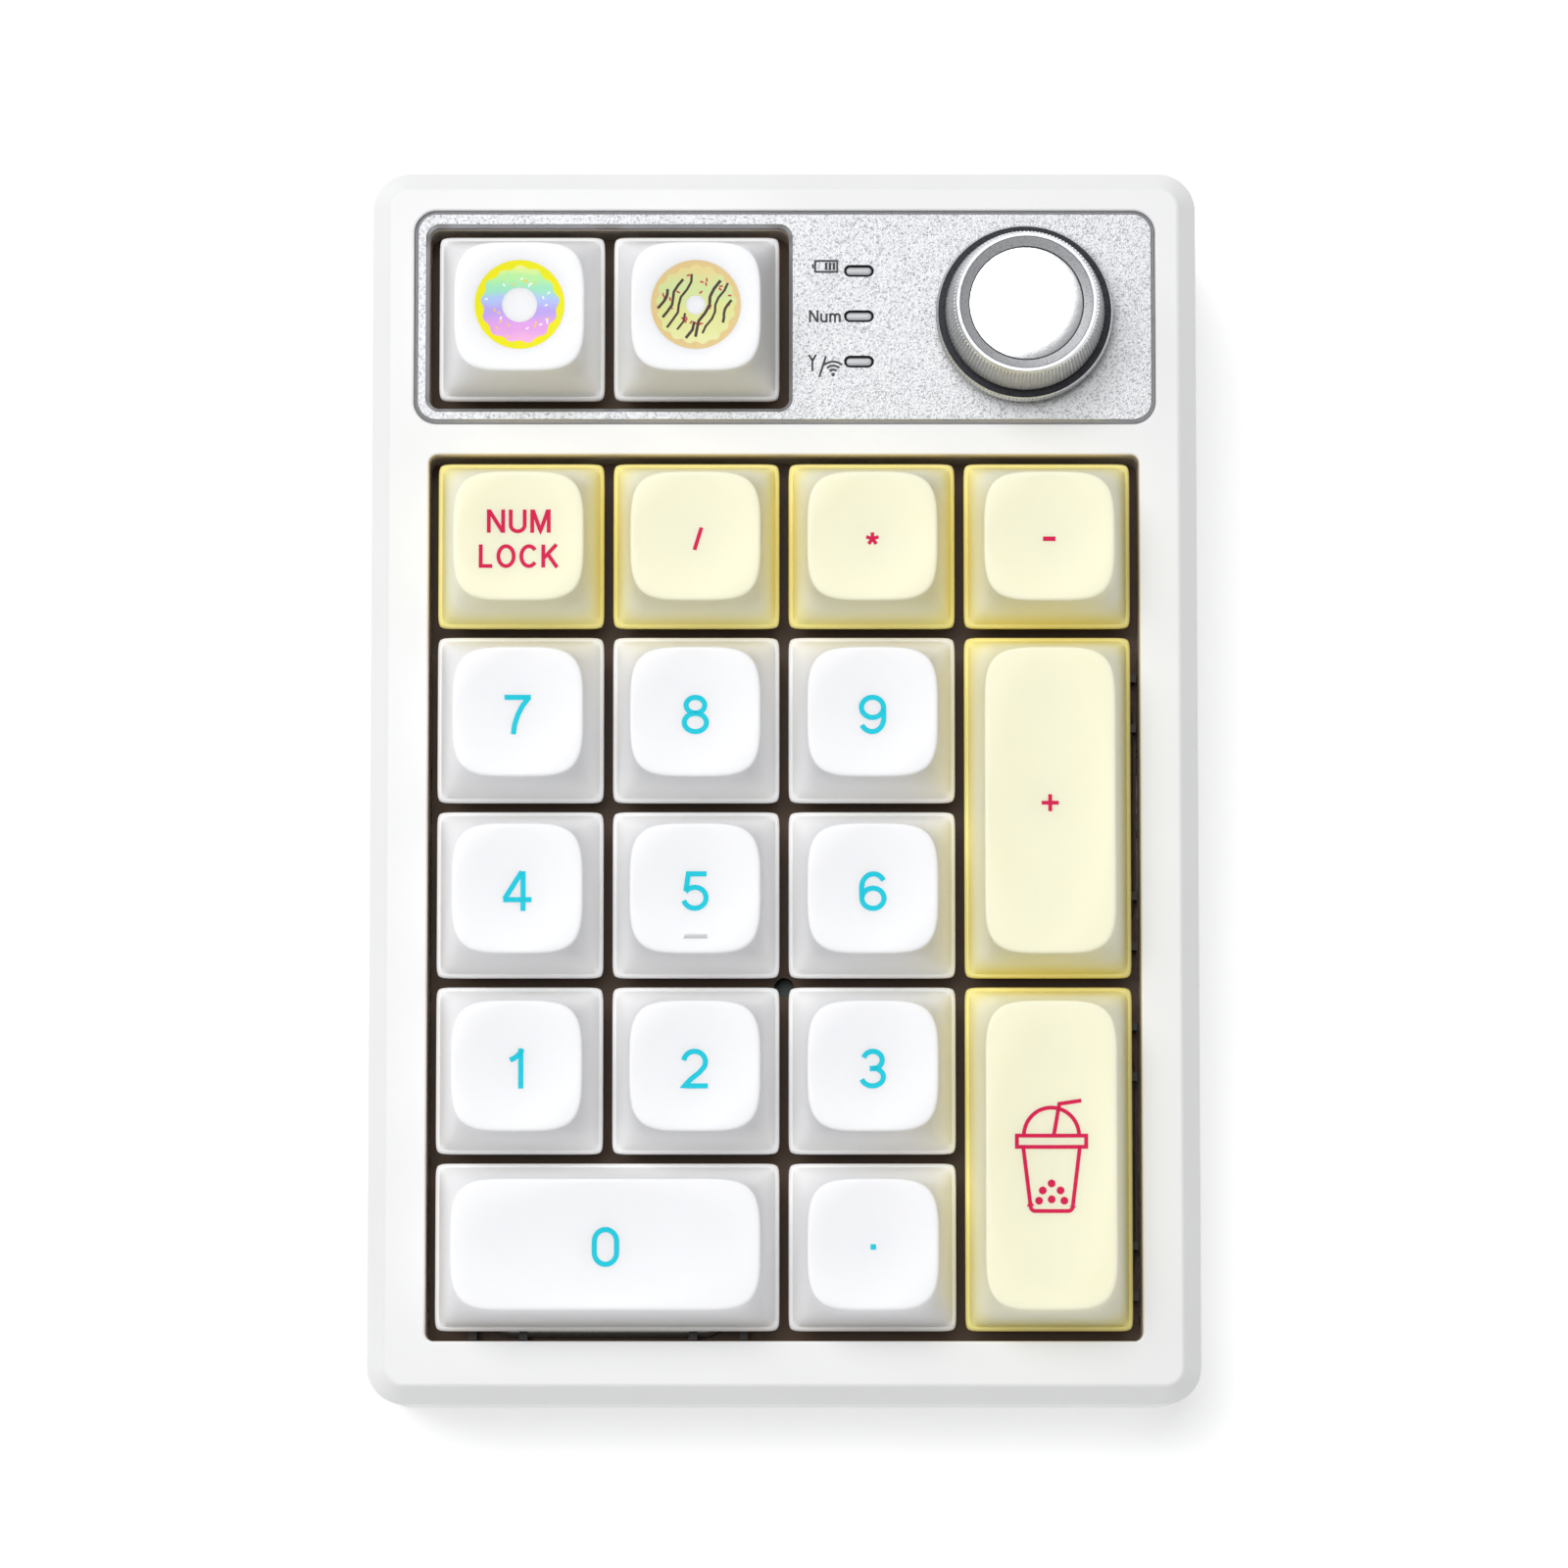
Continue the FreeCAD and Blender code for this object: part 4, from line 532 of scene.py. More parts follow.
def sidesOf(points, closed):  # unit vectors to the left of the stroke, mitred at its corners
    count = len(points)
    sides = []
    for k in range(count):
        before = points[k] - points[k - 1] if k or closed else points[1] - points[0]
        after = points[(k + 1) % count] - points[k] if k < count - 1 or closed else before
        before, after = before.normalized(), after.normalized()
        side = Vector((-before.y - after.y, before.x + after.x))
        side = side.normalized() if side.length > 1e-6 else Vector((-after.y, after.x))
        grow = max(0.5, abs(side.dot(Vector((-after.y, after.x)))))
        sides.append(side / grow)
    return sides


printed = {"stand": 0.012, "sink": 0.03, "step": 0.4}  # a mark's film above and below its surface


def layStroke(shape, stroke, width, place, surface, tag=0, stand=None):
    raised = printed["stand"] if stand is None else stand
    points = resample([Vector(place(*p)) for p in stroke], printed["step"])
    closed = (points[0] - points[-1]).length < 1e-4
    if closed:
        points = points[:-1]
    corners = []
    for point, side in zip(points, sidesOf(points, closed)):
        left, right = point + side * width / 2, point - side * width / 2
        ring = []
        sink = -printed["sink"]
        for edge, rise in ((left, sink), (right, sink), (right, raised), (left, raised)):
            ring.append(shape.verts.new((edge.x, edge.y, surface(edge.x, edge.y) + rise)))
        corners.append(ring)
    pairs = list(zip(corners, corners[1:])) + ([(corners[-1], corners[0])] if closed else [])
    for one, two in pairs:
        for k in range(4):
            face = shape.faces.new((one[k], one[(k + 1) % 4], two[(k + 1) % 4], two[k]))
            face.material_index = tag
    if not closed:
        shape.faces.new(list(reversed(corners[0]))).material_index = tag
        shape.faces.new(corners[-1]).material_index = tag


def layDot(shape, centre, radius, surface, tag=0, steps=20, stand=None):
    layStroke(shape, bend(*centre, radius / 2, radius / 2, 0, 360, steps), radius,
              lambda x, y: (x, y), surface, tag, stand)


def layText(shape, text, centre, height, thick, gap, surface, tag=0):
    total = sum(glyphs[letter][0] for letter in text) + gap * (len(text) - 1)
    x = -total / 2
    for letter in text:
        width, strokes = glyphs[letter]
        for stroke in strokes:
            layStroke(shape, stroke, thick, lambda a, b, x=x: (centre[0] + (a + x) * height,
                      centre[1] + (b - 0.5) * height), surface, tag)
        x += width + gap


def keyPlace(name):
    centre, stretch = capPlace(name)
    dish = dishHeight(stretch)
    return centre, lambda x, y: dish(x - centre.x, y - centre.y)


legend = {
    "digit": 4.28,  # height of a numeral
    "digitStroke": 0.56,
    "word": 2.52,
    "wordStroke": 0.42,
    "wordGap": 0.19,  # between letters, as a share of their height
    "lineGap": 3.8,
    "nudge": -0.27,  # the print sits a little low of the key's centre
}


def legendPiece(name, draw, dye, slotName):
    centre, surface = keyPlace(name)
    shape = bmesh.new()
    draw(shape, (centre.x, centre.y + legend["nudge"]), surface)
    bmesh.ops.recalc_face_normals(shape, faces=shape.faces)
    return pieceFrom(shape, "mark_" + name, "key_" + name, slotName, dye, sharp=30)


def drawWords(shape, centre, surface):
    for word, side in (("NUM", 0.5), ("LOCK", -0.5)):
        layText(shape, word, (centre[0], centre[1] + side * legend["lineGap"]), legend["word"],
                legend["wordStroke"], legend["wordGap"], surface)


def drawBars(bars, width):
    def draw(shape, centre, surface):
        for bar in bars:
            layStroke(shape, bar, width, lambda x, y: (centre[0] + x, centre[1] + y), surface)
    return draw


def spokes(reach, count, first=90):
    ends = [math.radians(first + 360 * k / count) for k in range(count)]
    return [[(0, 0), (reach * math.cos(a), reach * math.sin(a))] for a in ends]


for name in keyNames:
    if name.isdigit():
        legendPiece(name, lambda shape, centre, surface, name=name: layText(
            shape, name, centre, legend["digit"], legend["digitStroke"], 0, surface),
            [finish["cyanDye"]], "legend_cyan")
legendPiece("decimal", drawBars([[(-0.3, 0), (0.3, 0)]], 0.6), [finish["cyanDye"]], "legend_cyan")
operators = {  # strokes from the key's centre, and their width
    "divide": ([[(-0.13, -1.22), (0.63, 1.22)]], 0.42),
    "multiply": (spokes(0.7, 5), 0.38),
    "minus": ([[(-0.68, 0), (0.68, 0)]], 0.5),
    "plus": ([[(-0.92, 0), (0.92, 0)], [(0, -0.92), (0, 0.92)]], 0.42),
}
legendPiece("num_lock", drawWords, [finish["magentaDye"]], "legend_magenta")
for name, (bars, width) in operators.items():
    legendPiece(name, drawBars(bars, width), [finish["magentaDye"]], "legend_magenta")

homing = {
    "half": 1.25,
    "down": 5.1,  # below the key's centre
    "layers": ((0.46, 0.16), (0.34, 0.25), (0.18, 0.3)),  # width and rise of each step of its rounding
}


def homingBar():  # the raised bar that a finger finds the middle key by
    centre, surface = keyPlace("5")
    shape = bmesh.new()
    widest = homing["layers"][0][0]
    for width, rise in homing["layers"]:
        reach = homing["half"] - widest / 2 + width / 2
        layStroke(shape, [(-reach, 0), (reach, 0)], width,
                  lambda x, y: (centre.x + x, centre.y - homing["down"] + y), surface, 0, rise)
    bmesh.ops.recalc_face_normals(shape, faces=shape.faces)
    return pieceFrom(shape, "homingBar", "key_5", "keycap_white", [finish["capWhite"]])


homingBar()
print("legends drawn")


# pictures on the two function keys: a ring cake each, of our own design

def deckCoordinates(material, place, centre=(0, 0, 0)):  # metres from a point, with the deck flat
    shift = (frameToDeck.to_translation() - Vector(centre)) * millimetre
    return addNode(material, "ShaderNodeMapping", {}, {"Location": shift, "Rotation": (-deckTilt, 0, 0)},
                   {"Vector": place}).outputs["Vector"]


def colourSteps(material, stops, factor, interpolation="EASE"):
    ramp = addNode(material, "ShaderNodeValToRGB", {}, {}, {"Fac": factor})
    ramp.color_ramp.interpolation = interpolation
    elements = ramp.color_ramp.elements
    for number, (position, colour) in enumerate(stops):
        element = elements[number] if number < 2 else elements.new(position)
        element.position = position
        element.color = linearColour(colour)
    return ramp.outputs["Color"]


def printedIcing(name, centre, stops, radius, swirl):  # dye print with soft bands across the ring
    material, shader, place = newFinish(name, 0.55)
    flat = deckCoordinates(material, place, centre)
    ripple = addNode(material, "ShaderNodeTexNoise", {}, {"Scale": perMillimetre(1.1), "Detail": 3},
                     {"Vector": flat})
    split = addNode(material, "ShaderNodeSeparateXYZ", {}, {}, {"Vector": flat})
    share = addNode(material, "ShaderNodeMapRange", {},
                    {"From Min": -radius * millimetre, "From Max": radius * millimetre},
                    {"Value": split.outputs["Y"]})
    wave = addNode(material, "ShaderNodeMapRange", {}, {"To Min": -swirl, "To Max": swirl},
                   {"Value": ripple.outputs["Fac"]})
    mixed = addNode(material, "ShaderNodeMath", {"operation": "ADD", "use_clamp": True}, {},
                    {0: share.outputs["Result"], 1: wave.outputs["Result"]})
    colour = colourSteps(material, stops, mixed.outputs["Value"])
    material.node_tree.links.new(colour, shader.inputs["Base Color"])
    return material


picture = {
    "radius": 4.85,
    "lift": 0.5,  # above where a legend would stand
    "scallops": (0.16, 0.08),  # how far the icing's edge waves, in two rhythms
    "doughStand": 0.010,
    "icingStand": 0.014,
    "sprinkleStand": 0.022,
    "drizzleStand": 0.026,
    "clear": 0.35,  # bare rim that sprinkles keep off
    "icing": 4.3,  # radius over which the icing's colours run
}


def ringBand(shape, centre, inner, outer, surface, tag, stand, turns=96, steps=6):
    rings = []
    for k in range(steps + 1):
        ring = []
        for step in range(turns):
            angle = 2 * math.pi * step / turns
            low, high = inner(angle), outer(angle)
            reach = low + (high - low) * k / steps
            x, y = centre[0] + reach * math.cos(angle), centre[1] + reach * math.sin(angle)
            ring.append((x, y, surface(x, y) + stand))
        rings.append(ring)
    skirtIn = [(x, y, z - stand - printed["sink"]) for x, y, z in rings[0]]
    skirtOut = [(x, y, z - stand - printed["sink"]) for x, y, z in rings[-1]]
    skinRings(shape, [skirtIn] + rings + [skirtOut, skirtIn], tag)


def ringCake(name, hole, doughWidth, waves, materials, toppings):
    fine, broad = picture["scallops"]

    def edge(a):
        return picture["radius"] - doughWidth + fine * math.sin(waves * a) + broad * math.sin(5 * a + 1)

    def draw(shape, middleOfKey, surface):
        centre = (middleOfKey[0], middleOfKey[1] + picture["lift"])
        ringBand(shape, centre, edge, lambda a: picture["radius"], surface, 0, picture["doughStand"])
        ringBand(shape, centre, lambda a: hole, edge, surface, 1, picture["icingStand"])
        toppings(shape, centre, surface, hole, picture["radius"] - doughWidth)
        bmesh.ops.remove_doubles(shape, verts=shape.verts, dist=1e-5)
    return legendPiece(name, draw, materials, "picture_print")


def sprinkle(shape, rng, centre, surface, hole, edge, count, length, width, tags):
    for number in range(count):
        angle, turn = rng.uniform(0, 2 * math.pi), rng.uniform(0, math.pi)
        reach = rng.uniform(hole + picture["clear"], edge - picture["clear"])
        x, y = centre[0] + reach * math.cos(angle), centre[1] + reach * math.sin(angle)
        dx, dy = length / 2 * math.cos(turn), length / 2 * math.sin(turn)
        layStroke(shape, [(x - dx, y - dy), (x + dx, y + dy)], width, lambda a, b: (a, b), surface,
                  tags[number % len(tags)], picture["sprinkleStand"])


def rainbowToppings(shape, centre, surface, hole, edge):
    sprinkle(shape, random.Random(4), centre, surface, hole, edge, 26, 0.34, 0.16, (2, 3))


drizzle = {
    "lines": 8,
    "first": -3.6,  # where the first line crosses, and how far on the last one does
    "spread": 7.0,
    "jitter": 0.25,
    "shortest": 0.4,  # squared half length of a line near the rim
    "fill": 0.92,
    "bends": 8,
    "sway": 0.22,
    "swayRate": 1.9,
    "swayShift": 1.7,
    "slant": 0.42,
    "lengthways": 0.95,
    "hole": 0.15,
    "width": (0.2, 0.34),
}


def drizzleToppings(shape, centre, surface, hole, edge):
    rng = random.Random(11)
    sprinkle(shape, rng, centre, surface, hole, edge, 24, 0.4, 0.2, (3,))
    for number in range(drizzle["lines"]):  # thin lines of chocolate thrown across at a slant
        across = drizzle["first"] + drizzle["spread"] * number / (drizzle["lines"] - 1)
        across += rng.uniform(-drizzle["jitter"], drizzle["jitter"])
        reach = math.sqrt(max(drizzle["shortest"], edge ** 2 - across ** 2)) * drizzle["fill"]
        line = []
        for k in range(drizzle["bends"] + 1):
            along = -reach + 2 * reach * k / drizzle["bends"]
            sway = drizzle["sway"] * math.sin(drizzle["swayRate"] * along + number * drizzle["swayShift"])
            x, y = across + sway + drizzle["slant"] * along, drizzle["lengthways"] * along
            outside = math.hypot(x, y)
            if hole + drizzle["hole"] < outside < edge:
                line.append((centre[0] + x, centre[1] + y))
            elif len(line) > 1:
                break
        if len(line) > 1:
            layStroke(shape, line, rng.uniform(*drizzle["width"]), lambda a, b: (a, b), surface, 2,
                      picture["drizzleStand"])


def cakeCentre(name):
    centre = keyPlace(name)[0]
    return centre.x, centre.y + legend["nudge"] + picture["lift"], capTop


rainbow = printedIcing("rainbow_icing_print", cakeCentre("function_1"),
                       ((0.0, "#F6B4DE"), (0.22, "#E49FE6"), (0.42, "#B9A2EE"), (0.56, "#AFC3F4"),
                        (0.7, "#9CE6BE"), (0.84, "#B5F0A0"), (1.0, "#EBF58E")), picture["icing"], 0.07)
lime = printedIcing("lime_icing_print", cakeCentre("function_2"),
                    ((0.0, "#E6E7A4"), (0.4, "#DDE08E"), (0.7, "#CFE09A"), (1.0, "#E8D58E")),
                    picture["icing"], 0.2)
ringCake("function_1", 1.9, 0.75, 13,
         [sunkDye("yellow_dough_print", "#F3EA0C", "#C6F01C", 0.9), rainbow,
          sunkDye("white_sprinkle_print", "#FFFFFF", "#F4EFE6"),
          sunkDye("gold_sprinkle_print", "#F3D05A", "#F6E2A0")], rainbowToppings)
ringCake("function_2", 1.05, 0.62, 17,
         [sunkDye("tan_dough_print", "#E3C78A", "#EBD9AE"), lime,
          sunkDye("chocolate_print", "#4A3A33", "#76645A"),
          sunkDye("red_sprinkle_print", "#C84B4B", "#DA8A84")], drizzleToppings)

# a lidded drinking cup on the enter key, of our own design

cup = {
    "stroke": 0.42,
    "top": (3.05, 1.35),  # half width and height of the walls' upper ends
    "foot": (2.25, -5.7),
    "footRound": 0.5,
    "lid": (3.7, 1.15, 2.35),
    "dome": (2.95, 3.0),
    "straw": [(0.25, 2.35), (0.85, 5.75), (3.2, 6.1)],
    "pearl": 0.42,
    "pearls": ((0, -2.75), (-0.95, -3.5), (0.95, -3.5), (-1.35, -4.6), (0, -4.45), (1.35, -4.6)),
}


def drawCup(shape, centre, surface):
    def put(x, y):
        return centre[0] + x, centre[1] + y

    topU, topV = cup["top"]
    footU, footV = cup["foot"]
    lidU, lidLow, lidHigh = cup["lid"]
    r = cup["footRound"]
    walls = [(-topU, topV), (-footU, footV + r)] + bend(-footU + r, footV + r, r, r, 180, 270, 6)
    walls += bend(footU - r, footV + r, r, r, 270, 360, 6) + [(footU, footV + r), (topU, topV)]
    lid = [(-lidU, lidLow), (lidU, lidLow), (lidU, lidHigh), (-lidU, lidHigh), (-lidU, lidLow)]
    dome = bend(0, lidHigh, *cup["dome"], 180, 0, 28)
    for line in (walls, lid, dome, cup["straw"]):
        layStroke(shape, line, cup["stroke"], put, surface)
    for x, y in cup["pearls"]:
        layDot(shape, put(x, y), cup["pearl"], surface)


legendPiece("enter", drawCup, [finish["magentaDye"]], "legend_magenta")
print("pictures printed")

# the case and the trim panel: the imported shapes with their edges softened

bentBy = math.radians(30)  # an edge sharper than this is rounded


def softenedCopy(node, name, body, materials, choose, width, segments=3, plain=None):
    mesh = nodes[node].data.copy()
    mesh.name = name
    mesh.materials.clear()
    shape = bmesh.new()
    shape.from_mesh(mesh)
    bmesh.ops.remove_doubles(shape, verts=shape.verts, dist=1e-7)
    bmesh.ops.dissolve_limit(shape, angle_limit=math.radians(0.6), verts=shape.verts, edges=shape.edges)
    for face in shape.faces:
        centre = frameToDeck @ face.calc_center_median()
        normal = frameToDeck.to_3x3() @ face.normal
        face.material_index = choose(centre, normal.normalized())
        face.smooth = True
    softness = shape.edges.layers.float.new("bevel_weight_edge")
    for edge in shape.edges:
        centre = frameToDeck @ ((edge.verts[0].co + edge.verts[1].co) / 2)
        bent = len(edge.link_faces) == 2 and edge.calc_face_angle(0) > bentBy
        edge[softness] = 0.0 if plain and plain(centre) or not bent else 1.0
    shape.to_mesh(mesh)
    shape.free()
    for layer in list(mesh.uv_layers):
        mesh.uv_layers.remove(layer)
    for material in materials:
        mesh.materials.append(material)
    if "custom_normal" in mesh.attributes:
        mesh.attributes.remove(mesh.attributes["custom_normal"])
    mesh.set_sharp_from_angle(angle=bentBy)
    piece = bpy.data.objects.new(name, mesh)
    bpy.context.scene.collection.objects.link(piece)
    bevel = piece.modifiers.new("softEdges", "BEVEL")
    bevel.width = width * millimetre
    bevel.segments = segments
    bevel.limit_method = "WEIGHT"
    bevel.use_clamp_overlap = False
    bevel.harden_normals = True
    return rideOn(piece, body, [node])


def insideBox(point, low, high, slack=0.3):
    return all(low[k] - slack < point[k] < high[k] + slack for k in range(2))


capFieldLow = Vector((min(deckBox("keycap_1")[0].x, deckBox("keycap_0")[0].x) - 1,
                      deckBox("keycap_0")[0].y - 1.2))
capFieldHigh = Vector((deckBox("keycap_minus")[1].x + 1, deckBox("keycap_minus")[1].y + 1.2))
windowLow = Vector((deckBox("keycap_function_1")[0].x - 1, deckBox("keycap_function_1")[0].y - 1))
windowHigh = Vector((deckBox("keycap_function_2")[1].x + 1, deckBox("keycap_function_2")[1].y + 1))
trimTop = deckBox("trim_panel")[1].z


caseTone = {"steep": 0.3, "flat": 0.95, "level": 0.9, "lowest": -4, "nearLight": 3}


def caseFaces(centre, normal):  # the wells' walls get the warm, dimmer wall finish: painted shade and bounce light from the plate below them
    upright = abs(normal.z) < caseTone["steep"]
    inWell = insideBox(centre, capFieldLow, capFieldHigh) or insideBox(centre, windowLow, windowHigh)
    return 1 if upright and inWell and centre.z > caseTone["lowest"] else 0


def trimFaces(centre, normal):
    if caseTone["steep"] < abs(normal.z) < caseTone["flat"]:
        nearLight = abs(centre.x - middle("indicator_windows").x) < caseTone["nearLight"]
        # painted dark reflection: the sloped faces round the indicator windows get the near-black groove
        # finish
        return 2 if nearLight else 1
    return 0 if normal.z > caseTone["level"] else 1


mouth = {"reach": 6, "height": 2.2}


def rearOpening(centre):  # the charging port's and the mode switch's mouths keep their crisp edges
    port, switch = middle("usb_c_socket"), middle("mode_switch_slider")
    beside = switch.x - mouth["reach"] < centre.x < port.x + mouth["reach"]
    return beside and centre.y > port.y and abs(centre.z - port.z) < mouth["height"]


softenedCopy("top_case", "caseTop", "root", [finish["caseWhite"], finish["paintedShadeWall"]],
             caseFaces, 0.28)
softenedCopy("bottom_case", "caseBottom", "root", [finish["caseWhite"]],
             lambda centre, normal: 0, 0.25, plain=rearOpening)
softenedCopy("trim_panel", "trimPanel", "root",
             [finish["blasted"], finish["polished"], finish["paintedShadeGroove"]], trimFaces, 0.03, 2)
print("case and trim panel softened")

# marks beside the indicators

indicator = {
    "height": 0.8,
    "flange": 1.0,  # how much wider the brim under the deck is
    "brim": (5.2, 5.8),
    "dome": (0.1, 0.16),  # how far the domed top starts below the pipe's end, and its rise
    "steps": 7,
}
panelMark = {
    "stroke": 0.24,
    "word": 1.35,
    "letterGap": 0.17,
    "offset": -3.72,  # from the indicators' centre
    "batteryShift": 0.05,
    "battery": [(-1.1, -0.6), (1.3, -0.6), (1.3, 0.6), (-1.1, 0.6), (-1.1, -0.6)],
    "terminal": [(-1.34, -0.24), (-1.34, 0.24)],
    "terminalStroke": 0.2,
    "charge": (0.1, 0.52, 0.94),
    "chargeHalf": 0.42,
    "chargeStroke": 0.3,
    "mast": [(-1.35, -0.55), (-1.35, 0.85)],
    "aerial": [(-1.75, 1.25), (-1.35, 0.62), (-0.95, 1.25)],
    "slash": [(-0.6, -1.2), (0.12, 1.1)],
    "waveFoot": (0.9, -0.95),
    "waves": (0.55, 1.0, 1.45),
    "waveTurns": (48, 132),
    "dot": (0.9, -0.92),
    "dotRadius": 0.2,
}


def onTrim(x, y):
    return trimTop


def panelMarks():
    low, high = deckBox("indicator_windows")
    u = (low.x + high.x) / 2 + panelMark["offset"]
    half = indicator["height"] / 2
    batteryRow, numRow, radioRow = high.y - half, (low.y + high.y) / 2, low.y + half
    shape = bmesh.new()

    def battery(x, y):
        return u + x + panelMark["batteryShift"], batteryRow + y

    def radio(x, y):
        return u + x, radioRow + y

    layStroke(shape, panelMark["battery"], panelMark["stroke"], battery, onTrim)
    layStroke(shape, panelMark["terminal"], panelMark["terminalStroke"], battery, onTrim)
    for bar in panelMark["charge"]:
        layStroke(shape, [(bar, -panelMark["chargeHalf"]), (bar, panelMark["chargeHalf"])],
                  panelMark["chargeStroke"], battery, onTrim)
    layText(shape, "Num", (u, numRow), panelMark["word"], panelMark["stroke"], panelMark["letterGap"],
            onTrim)
    for part in ("mast", "aerial", "slash"):
        layStroke(shape, panelMark[part], panelMark["stroke"], radio, onTrim)
    for reach in panelMark["waves"]:  # waves over a dot
        wave = bend(*panelMark["waveFoot"], reach, reach, *panelMark["waveTurns"], 10)
        layStroke(shape, wave, panelMark["stroke"], radio, onTrim)
    layDot(shape, radio(*panelMark["dot"]), panelMark["dotRadius"], onTrim)
    bmesh.ops.recalc_face_normals(shape, faces=shape.faces)
    return pieceFrom(shape, "panelMarks", "root", "panel_ink", [finish["panelInk"]])


def slotRing(centre, length, height, w, shrink=0.0, steps=12):
    r = height / 2 - shrink
    reach = (length - height) / 2
    right = bend(centre[0] + reach, centre[1], r, r, -90, 90, steps)
    left = bend(centre[0] - reach, centre[1], r, r, 90, 270, steps)
    return [(x, y, w) for x, y in right + left]


def indicatorLenses():  # light pipes with a softly domed top
    low, high = deckBox("indicator_windows")
    flange, height = indicator["flange"], indicator["height"]
    length = high.x - low.x - flange
    drop, rise = indicator["dome"]
    pitch = (high.y - low.y - flange - height) / 2
    shape = bmesh.new()
    for row in (-1, 0, 1):
        centre = ((low.x + high.x) / 2, (low.y + high.y) / 2 + row * pitch)
        rings = [slotRing(centre, length, height, low.z)]
        for k in range(indicator["steps"]):
            turn = math.radians(90 * k / indicator["steps"])
            rings.append(slotRing(centre, length, height, high.z - drop + rise * math.sin(turn),
                                  height / 2 * (1 - math.cos(turn))))
        made = skinRings(shape, rings)
        shape.faces.new(made[-1])
        shape.faces.new(list(reversed(made[0])))
        brim = [slotRing(centre, length + flange, height + flange, w) for w in indicator["brim"]]
        disc = skinRings(shape, brim)
        shape.faces.new(disc[-1])
        shape.faces.new(list(reversed(disc[0])))
    bmesh.ops.recalc_face_normals(shape, faces=shape.faces)
    return pieceFrom(shape, "indicatorLenses", "root", "frosted_light_pipe", [finish["lightPipe"]],
                     ["indicator_windows"], 50)


panelMarks()
indicatorLenses()
print("panel marks and indicators done")

# what repeats round a circle or along a helix grows from node trees

def nodeTree(name, inputs):
    tree = bpy.data.node_groups.new(name, "GeometryNodeTree")
    tree.interface.new_socket("Geometry", in_out="OUTPUT", socket_type="NodeSocketGeometry")
    for label, kind in inputs:
        tree.interface.new_socket(label, in_out="INPUT", socket_type="NodeSocket" + kind)
    return tree, tree.nodes.new("NodeGroupInput"), tree.nodes.new("NodeGroupOutput")


def growNode(tree, kind, settings={}, values={}, links={}):
    node = tree.nodes.new(kind)
    for name, value in settings.items():
        setattr(node, name, value)
    for name, value in values.items():
        node.inputs[name].default_value = value
    for name, socket in links.items():
        tree.links.new(socket, node.inputs[name])
    return node


def grownMesh(tree, sizes):
    holder = bpy.data.objects.new("holder", bpy.data.meshes.new("holder"))
    bpy.context.scene.collection.objects.link(holder)
    modifier = holder.modifiers.new("grow", "NODES")
    modifier.node_group = tree
    for item in tree.interface.items_tree:
        if item.in_out == "INPUT":
            modifier[item.identifier] = sizes[item.name]
    graph = bpy.context.evaluated_depsgraph_get()
    mesh = bpy.data.meshes.new_from_object(holder.evaluated_get(graph))
    holder.modifiers.remove(modifier)
    bpy.data.objects.remove(holder)
    return mesh


def ribTree(material):  # square bars on edge, stood round a circle, leaning in and slanting
    tree, given, out = nodeTree("ribRing", (("Count", "Int"), ("Radius", "Float"), ("Size", "Vector"),
                                            ("Lean", "Vector")))
    bar = growNode(tree, "GeometryNodeMeshCube", {}, {}, {"Size": given.outputs["Size"]})
    onEdge = growNode(tree, "GeometryNodeTransform", {}, {"Rotation": (0, 0, math.radians(45))},
                      {"Geometry": bar.outputs["Mesh"]})
    leaning = growNode(tree, "GeometryNodeTransform", {}, {},
                       {"Geometry": onEdge.outputs["Geometry"], "Rotation": given.outputs["Lean"]})
    circle = growNode(tree, "GeometryNodeMeshCircle", {}, {},
                      {"Vertices": given.outputs["Count"], "Radius": given.outputs["Radius"]})
    index = growNode(tree, "GeometryNodeInputIndex")
    share = growNode(tree, "ShaderNodeMath", {"operation": "DIVIDE"}, {},
                     {0: index.outputs[0], 1: given.outputs["Count"]})
    turn = growNode(tree, "ShaderNodeMath", {"operation": "MULTIPLY"}, {1: 2 * math.pi},
                    {0: share.outputs[0]})
    spin = growNode(tree, "ShaderNodeCombineXYZ", {}, {}, {"Z": turn.outputs[0]})
    placed = growNode(tree, "GeometryNodeInstanceOnPoints", {}, {},
                      {"Points": circle.outputs["Mesh"], "Instance": leaning.outputs["Geometry"],
                       "Rotation": spin.outputs[0]})
    real = growNode(tree, "GeometryNodeRealizeInstances", {}, {}, {"Geometry": placed.outputs["Instances"]})
    dressed = growNode(tree, "GeometryNodeSetMaterial", {}, {"Material": material},
                       {"Geometry": real.outputs["Geometry"]})
    tree.links.new(dressed.outputs["Geometry"], out.inputs["Geometry"])
    return tree


